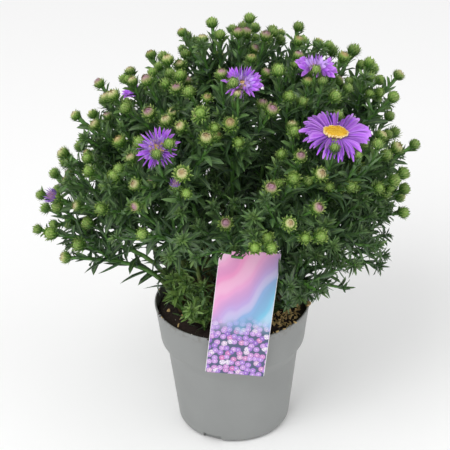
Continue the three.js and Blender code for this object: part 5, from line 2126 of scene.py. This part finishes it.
def print_material(label):
    """The label's print: a soft blend of colours over plain round dots."""
    made, tree, shader = new_material("label_print", 0.32)
    uv = add(tree, "ShaderNodeUVMap", uv_map="print").outputs[0]
    across, up, _ = add(tree, "ShaderNodeSeparateXYZ", {0: uv}).outputs
    wave = add(tree, "ShaderNodeTexNoise", {"Vector": uv, "Scale": 2.2, "Detail": 1.0}).outputs["Fac"]
    slope = times_plus(up, -0.9, times_plus(across, 0.52, 0.75))
    blend = ramp(tree, times_plus(wave, 0.3, slope), "B_SPLINE", (
        (0.1, rgb("f6b6de")), (0.26, label.warm), (0.42, rgb("f3a6d4")), (0.54, label.middle),
        (0.66, rgb("a99fdd")), (0.8, label.cool), (1.0, rgb("8fcbe8")),
    ))
    fold = value_of("SINE", times_plus(slope, 21.0, times(wave, 7.0)))
    silk = mix(times(ease(fold, 0.0, 1.0), 0.24), blend, rgb("fdf1fa"))
    silk = mix(times(ease(fold, -0.1, -1.0), 0.16), silk, rgb("9a5fae"))
    cells = LABEL_WIDTH / label.dot
    lattice = add(tree, "ShaderNodeCombineXYZ", {
        0: times(across, cells),
        1: times(up, cells * LABEL_LENGTH / LABEL_WIDTH),
    }).outputs[0]
    dots = speckle(tree, lattice, 1.0, 0.75)
    pick = add(tree, "ShaderNodeSeparateColor", {0: dots["Color"]}).outputs[0]
    tinted = ramp(tree, pick, "LINEAR", (
        (0.0, rgb("9b6fd0")), (0.3, rgb("c79bea")), (0.55, rgb("e2b4ef")), (0.78, rgb("e87fbf")),
        (0.93, rgb("fbf4fb")),
    ))
    fine = speckle(tree, lattice, 4.2, 0.9)["Distance"]
    petals = mix(ease(fine, 0.1, 0.55, 0.0, 0.5), tinted, rgb("7b4fa8"))
    disc = ease(dots["Distance"], 0.42, 0.6, 1.0, 0.0)
    heart = ease(dots["Distance"], 0.06, 0.2, 1.0, 0.0)
    dotted = mix(disc, label.ground, petals)
    dotted = mix(times(heart, 0.55), dotted, rgb("fbeff8"))
    printed = mix(ease(times_plus(wave, 0.22, up), 0.42, 0.6), dotted, silk)
    margin = ease(value_of("ABSOLUTE", value_of("SUBTRACT", across, 0.5)), 0.49, 0.495)
    printed = mix(margin, printed, label.card)
    feed(shader, {"Base Color": printed, "Coat Weight": 0.25, "Coat Roughness": 0.25})
    return made


def ramp(tree, share, interpolation, stops):
    """A colour from a row of positions and their colours."""
    made = add(tree, "ShaderNodeValToRGB", {0: share})
    made.color_ramp.interpolation = interpolation
    elements = made.color_ramp.elements
    while len(elements) < len(stops):
        elements.new(0.5)
    for element, (position, colour) in zip(elements, stops):
        element.position = position
        element.color = colour
    return made.outputs[0]


def speckle(tree, place, scale, randomness):
    """Round cells strewn over a plane."""
    links = {"Vector": place, "Scale": scale, "Randomness": randomness}
    return add(tree, "ShaderNodeTexVoronoi", links, voronoi_dimensions="2D").outputs


def add_card(bm, bow, columns=14, radius=LABEL_CORNER):
    """The card as level slices, each narrower where the corners are round."""
    corner = [radius * (1 - cos(radians(a))) for a in (12, 30, 50, 70, 90)]
    levels = corner + [lerp(radius, LABEL_LENGTH - radius, k / 16) for k in range(1, 16)]
    levels += [LABEL_LENGTH - z for z in reversed(corner)]
    rings = []
    for z in levels:
        near = min(z, LABEL_LENGTH - z)
        inset = radius - sqrt(max(0.0, radius ** 2 - max(0.0, radius - near) ** 2))
        half = LABEL_WIDTH / 2 - inset
        xs = [lerp(-half, half, k / columns) for k in range(columns + 1)]
        bowed = [bow * (1 - (x / (LABEL_WIDTH / 2)) ** 2) for x in xs]
        front = [Vector((x, y * 0.5, z)) for x, y in zip(xs, bowed)]
        back = [Vector((x, LABEL_THICKNESS - bow * 0.5 + y * 0.5, z)) for x, y in zip(xs, bowed)]
        rings.append(front + list(reversed(back)))
    layer = bm.loops.layers.uv.new("print")
    made = [bm.verts.new(p) for ring in rings for p in ring]
    for corners in skin(rings):
        face = bm.faces.new([made[i] for i in corners])
        face.normal_update()
        face.material_index = 0 if face.normal.y < -0.9 else 1
        for loop in face.loops:
            p = loop.vert.co
            loop[layer].uv = (p.x / LABEL_WIDTH + 0.5, p.z / LABEL_LENGTH)


def add_tongue(bm):
    """The strip that hooks over the rim and stands in the soil."""
    t = LABEL_THICKNESS
    back = TONGUE_REACH
    under = RIM_ON_LABEL + RIM_CLEARANCE
    foot = RIM_ON_LABEL - TONGUE_DEPTH
    outline = (
        (t * 0.4, under + 2 * t), (back * 0.5, under + 1.7 * t), (back + 0.4 * t, under + 1.1 * t),
        (back + t, under + 0.6 * t), (back + t, foot + 3 * MM), (back + 0.6 * t, foot),
        (back + 0.4 * t, foot), (back, foot + 3 * MM), (back, under), (t * 0.4, under),
    )
    half = TONGUE_WIDTH / 2
    ends = [[bm.verts.new((x, y, z)) for y, z in outline] for x in (-half, half)]
    faces = [bm.faces.new(ends[1]), bm.faces.new(list(reversed(ends[0])))]
    count = len(outline)
    for i in range(count):
        j = (i + 1) % count
        faces.append(bm.faces.new((ends[0][i], ends[0][j], ends[1][j], ends[1][i])))
    for face in faces:
        face.material_index = 1
    bmesh.ops.recalc_face_normals(bm, faces=faces)


class ASTER_OT_label(bpy.types.Operator):
    """Build the plastic plant label with its print, its hook and its tongue"""

    bl_idname = "aster.label"
    bl_label = "Label"

    def execute(self, context):
        label = context.scene.aster_label
        mesh = bpy.data.meshes.new("label_card")
        with editing(mesh) as bm:
            add_card(bm, label.bow)
            add_tongue(bm)
            bmesh.ops.transform(bm, matrix=LABEL_MATRIX, verts=bm.verts)
        sharpen(mesh)
        mesh.materials.append(print_material(label))
        mesh.materials.append(two_tone_material("label_card", 0.42, 60.0, rgb("e6e3e8"), label.card))
        finish_piece(link(bpy.data.objects.new("label_card", mesh)), "label")
        return {"FINISHED"}


def place_holder(name, content, place, turn):
    """Adds a camera or a light."""
    holder = link(bpy.data.objects.new(name, content))
    holder.matrix_world = Matrix.Translation(place) @ turn
    return holder


def looking(ahead):
    return ahead.to_track_quat("-Z", "Y").to_matrix().to_4x4()


def add_light(name, power, place, size):
    """A soft square light that looks at the plant."""
    light = bpy.data.lights.new(name, "AREA")
    light.energy = power
    light.size = size
    place_holder(name, light, place, looking(LIGHT_AIM - Vector(place)))


class ASTER_OT_stage(bpy.types.Operator):
    """Set the floor, the soft light and the camera"""

    bl_idname = "aster.stage"
    bl_label = "Stage"

    def execute(self, context):
        stage = context.scene.aster_stage
        scene = context.scene
        mesh = bpy.data.meshes.new("floor")
        corners = [(x * FLOOR_REACH, y * FLOOR_REACH, 0) for x, y in ((-1, -1), (1, -1), (1, 1), (-1, 1))]
        mesh.from_pydata(corners, [], [(0, 1, 2, 3)])
        floor, _, shader = new_material("stage_floor", 0.9)
        feed(shader, {"Base Color": stage.floor_colour, "Specular IOR Level": 0.0})
        mesh.materials.append(floor)
        link(bpy.data.objects.new("floor", mesh))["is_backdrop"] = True
        scene.world = bpy.data.worlds.new("studio")
        scene.world.use_nodes = True
        feed(scene.world.node_tree.nodes["Background"], {"Color": (1, 1, 1, 1), "Strength": stage.sky})
        add_light("key", stage.key, (-0.9, -1.3, 1.9), 1.3)
        add_light("fill", stage.fill, (1.3, -0.7, 1.3), 1.5)
        camera = bpy.data.cameras.new("camera")
        camera.lens = CAMERA_LENS
        camera.clip_start = 0.01
        ahead = Vector((0, cos(stage.tilt), -sin(stage.tilt)))
        turn = looking(ahead) @ Matrix.Rotation(stage.roll, 4, "Z")
        scene.camera = place_holder("camera", camera, CAMERA_PLACE, turn)
        scene.view_settings.view_transform = "Standard"
        return {"FINISHED"}


class ASTER_PT_sidebar(bpy.types.Panel):
    """Lists the pieces of the aster and their settings"""

    bl_idname = "ASTER_PT_sidebar"
    bl_label = "Potted Aster"
    bl_space_type = "VIEW_3D"
    bl_region_type = "UI"
    bl_category = "Aster"

    def draw(self, context):
        layout = self.layout
        for operator, settings, _ in STEPS:
            layout.operator(operator.bl_idname)
            if settings:
                group = getattr(context.scene, settings)
                for key in group.__annotations__:
                    layout.prop(group, key)


STEPS = (
    (ASTER_OT_pot, "aster_pot", AsterPotSettings),
    (ASTER_OT_soil, "aster_soil", AsterSoilSettings),
    (ASTER_OT_label, "aster_label", AsterLabelSettings),
    (ASTER_OT_leafy_stems, "aster_plant", AsterPlantSettings),
    (ASTER_OT_basal_shoots, None, None),
    (ASTER_OT_blooms, "aster_bloom", AsterBloomSettings),
    (ASTER_OT_stage, "aster_stage", AsterStageSettings),
)


def register():
    for operator, name, group in STEPS:
        bpy.utils.register_class(operator)
        if name:
            bpy.utils.register_class(group)
            setattr(bpy.types.Scene, name, PointerProperty(type=group))
    bpy.utils.register_class(ASTER_PT_sidebar)


def unregister():
    bpy.utils.unregister_class(ASTER_PT_sidebar)
    for operator, name, group in reversed(STEPS):
        if name:
            delattr(bpy.types.Scene, name)
            bpy.utils.unregister_class(group)
        bpy.utils.unregister_class(operator)


def main():
    register()
    bpy.ops.aster.pot()
    bpy.ops.aster.soil()
    bpy.ops.aster.label()
    bpy.ops.aster.leafy_stems()
    bpy.ops.aster.basal_shoots()
    bpy.ops.aster.blooms()
    bpy.ops.aster.stage()


if __name__ == "__main__":
    main()
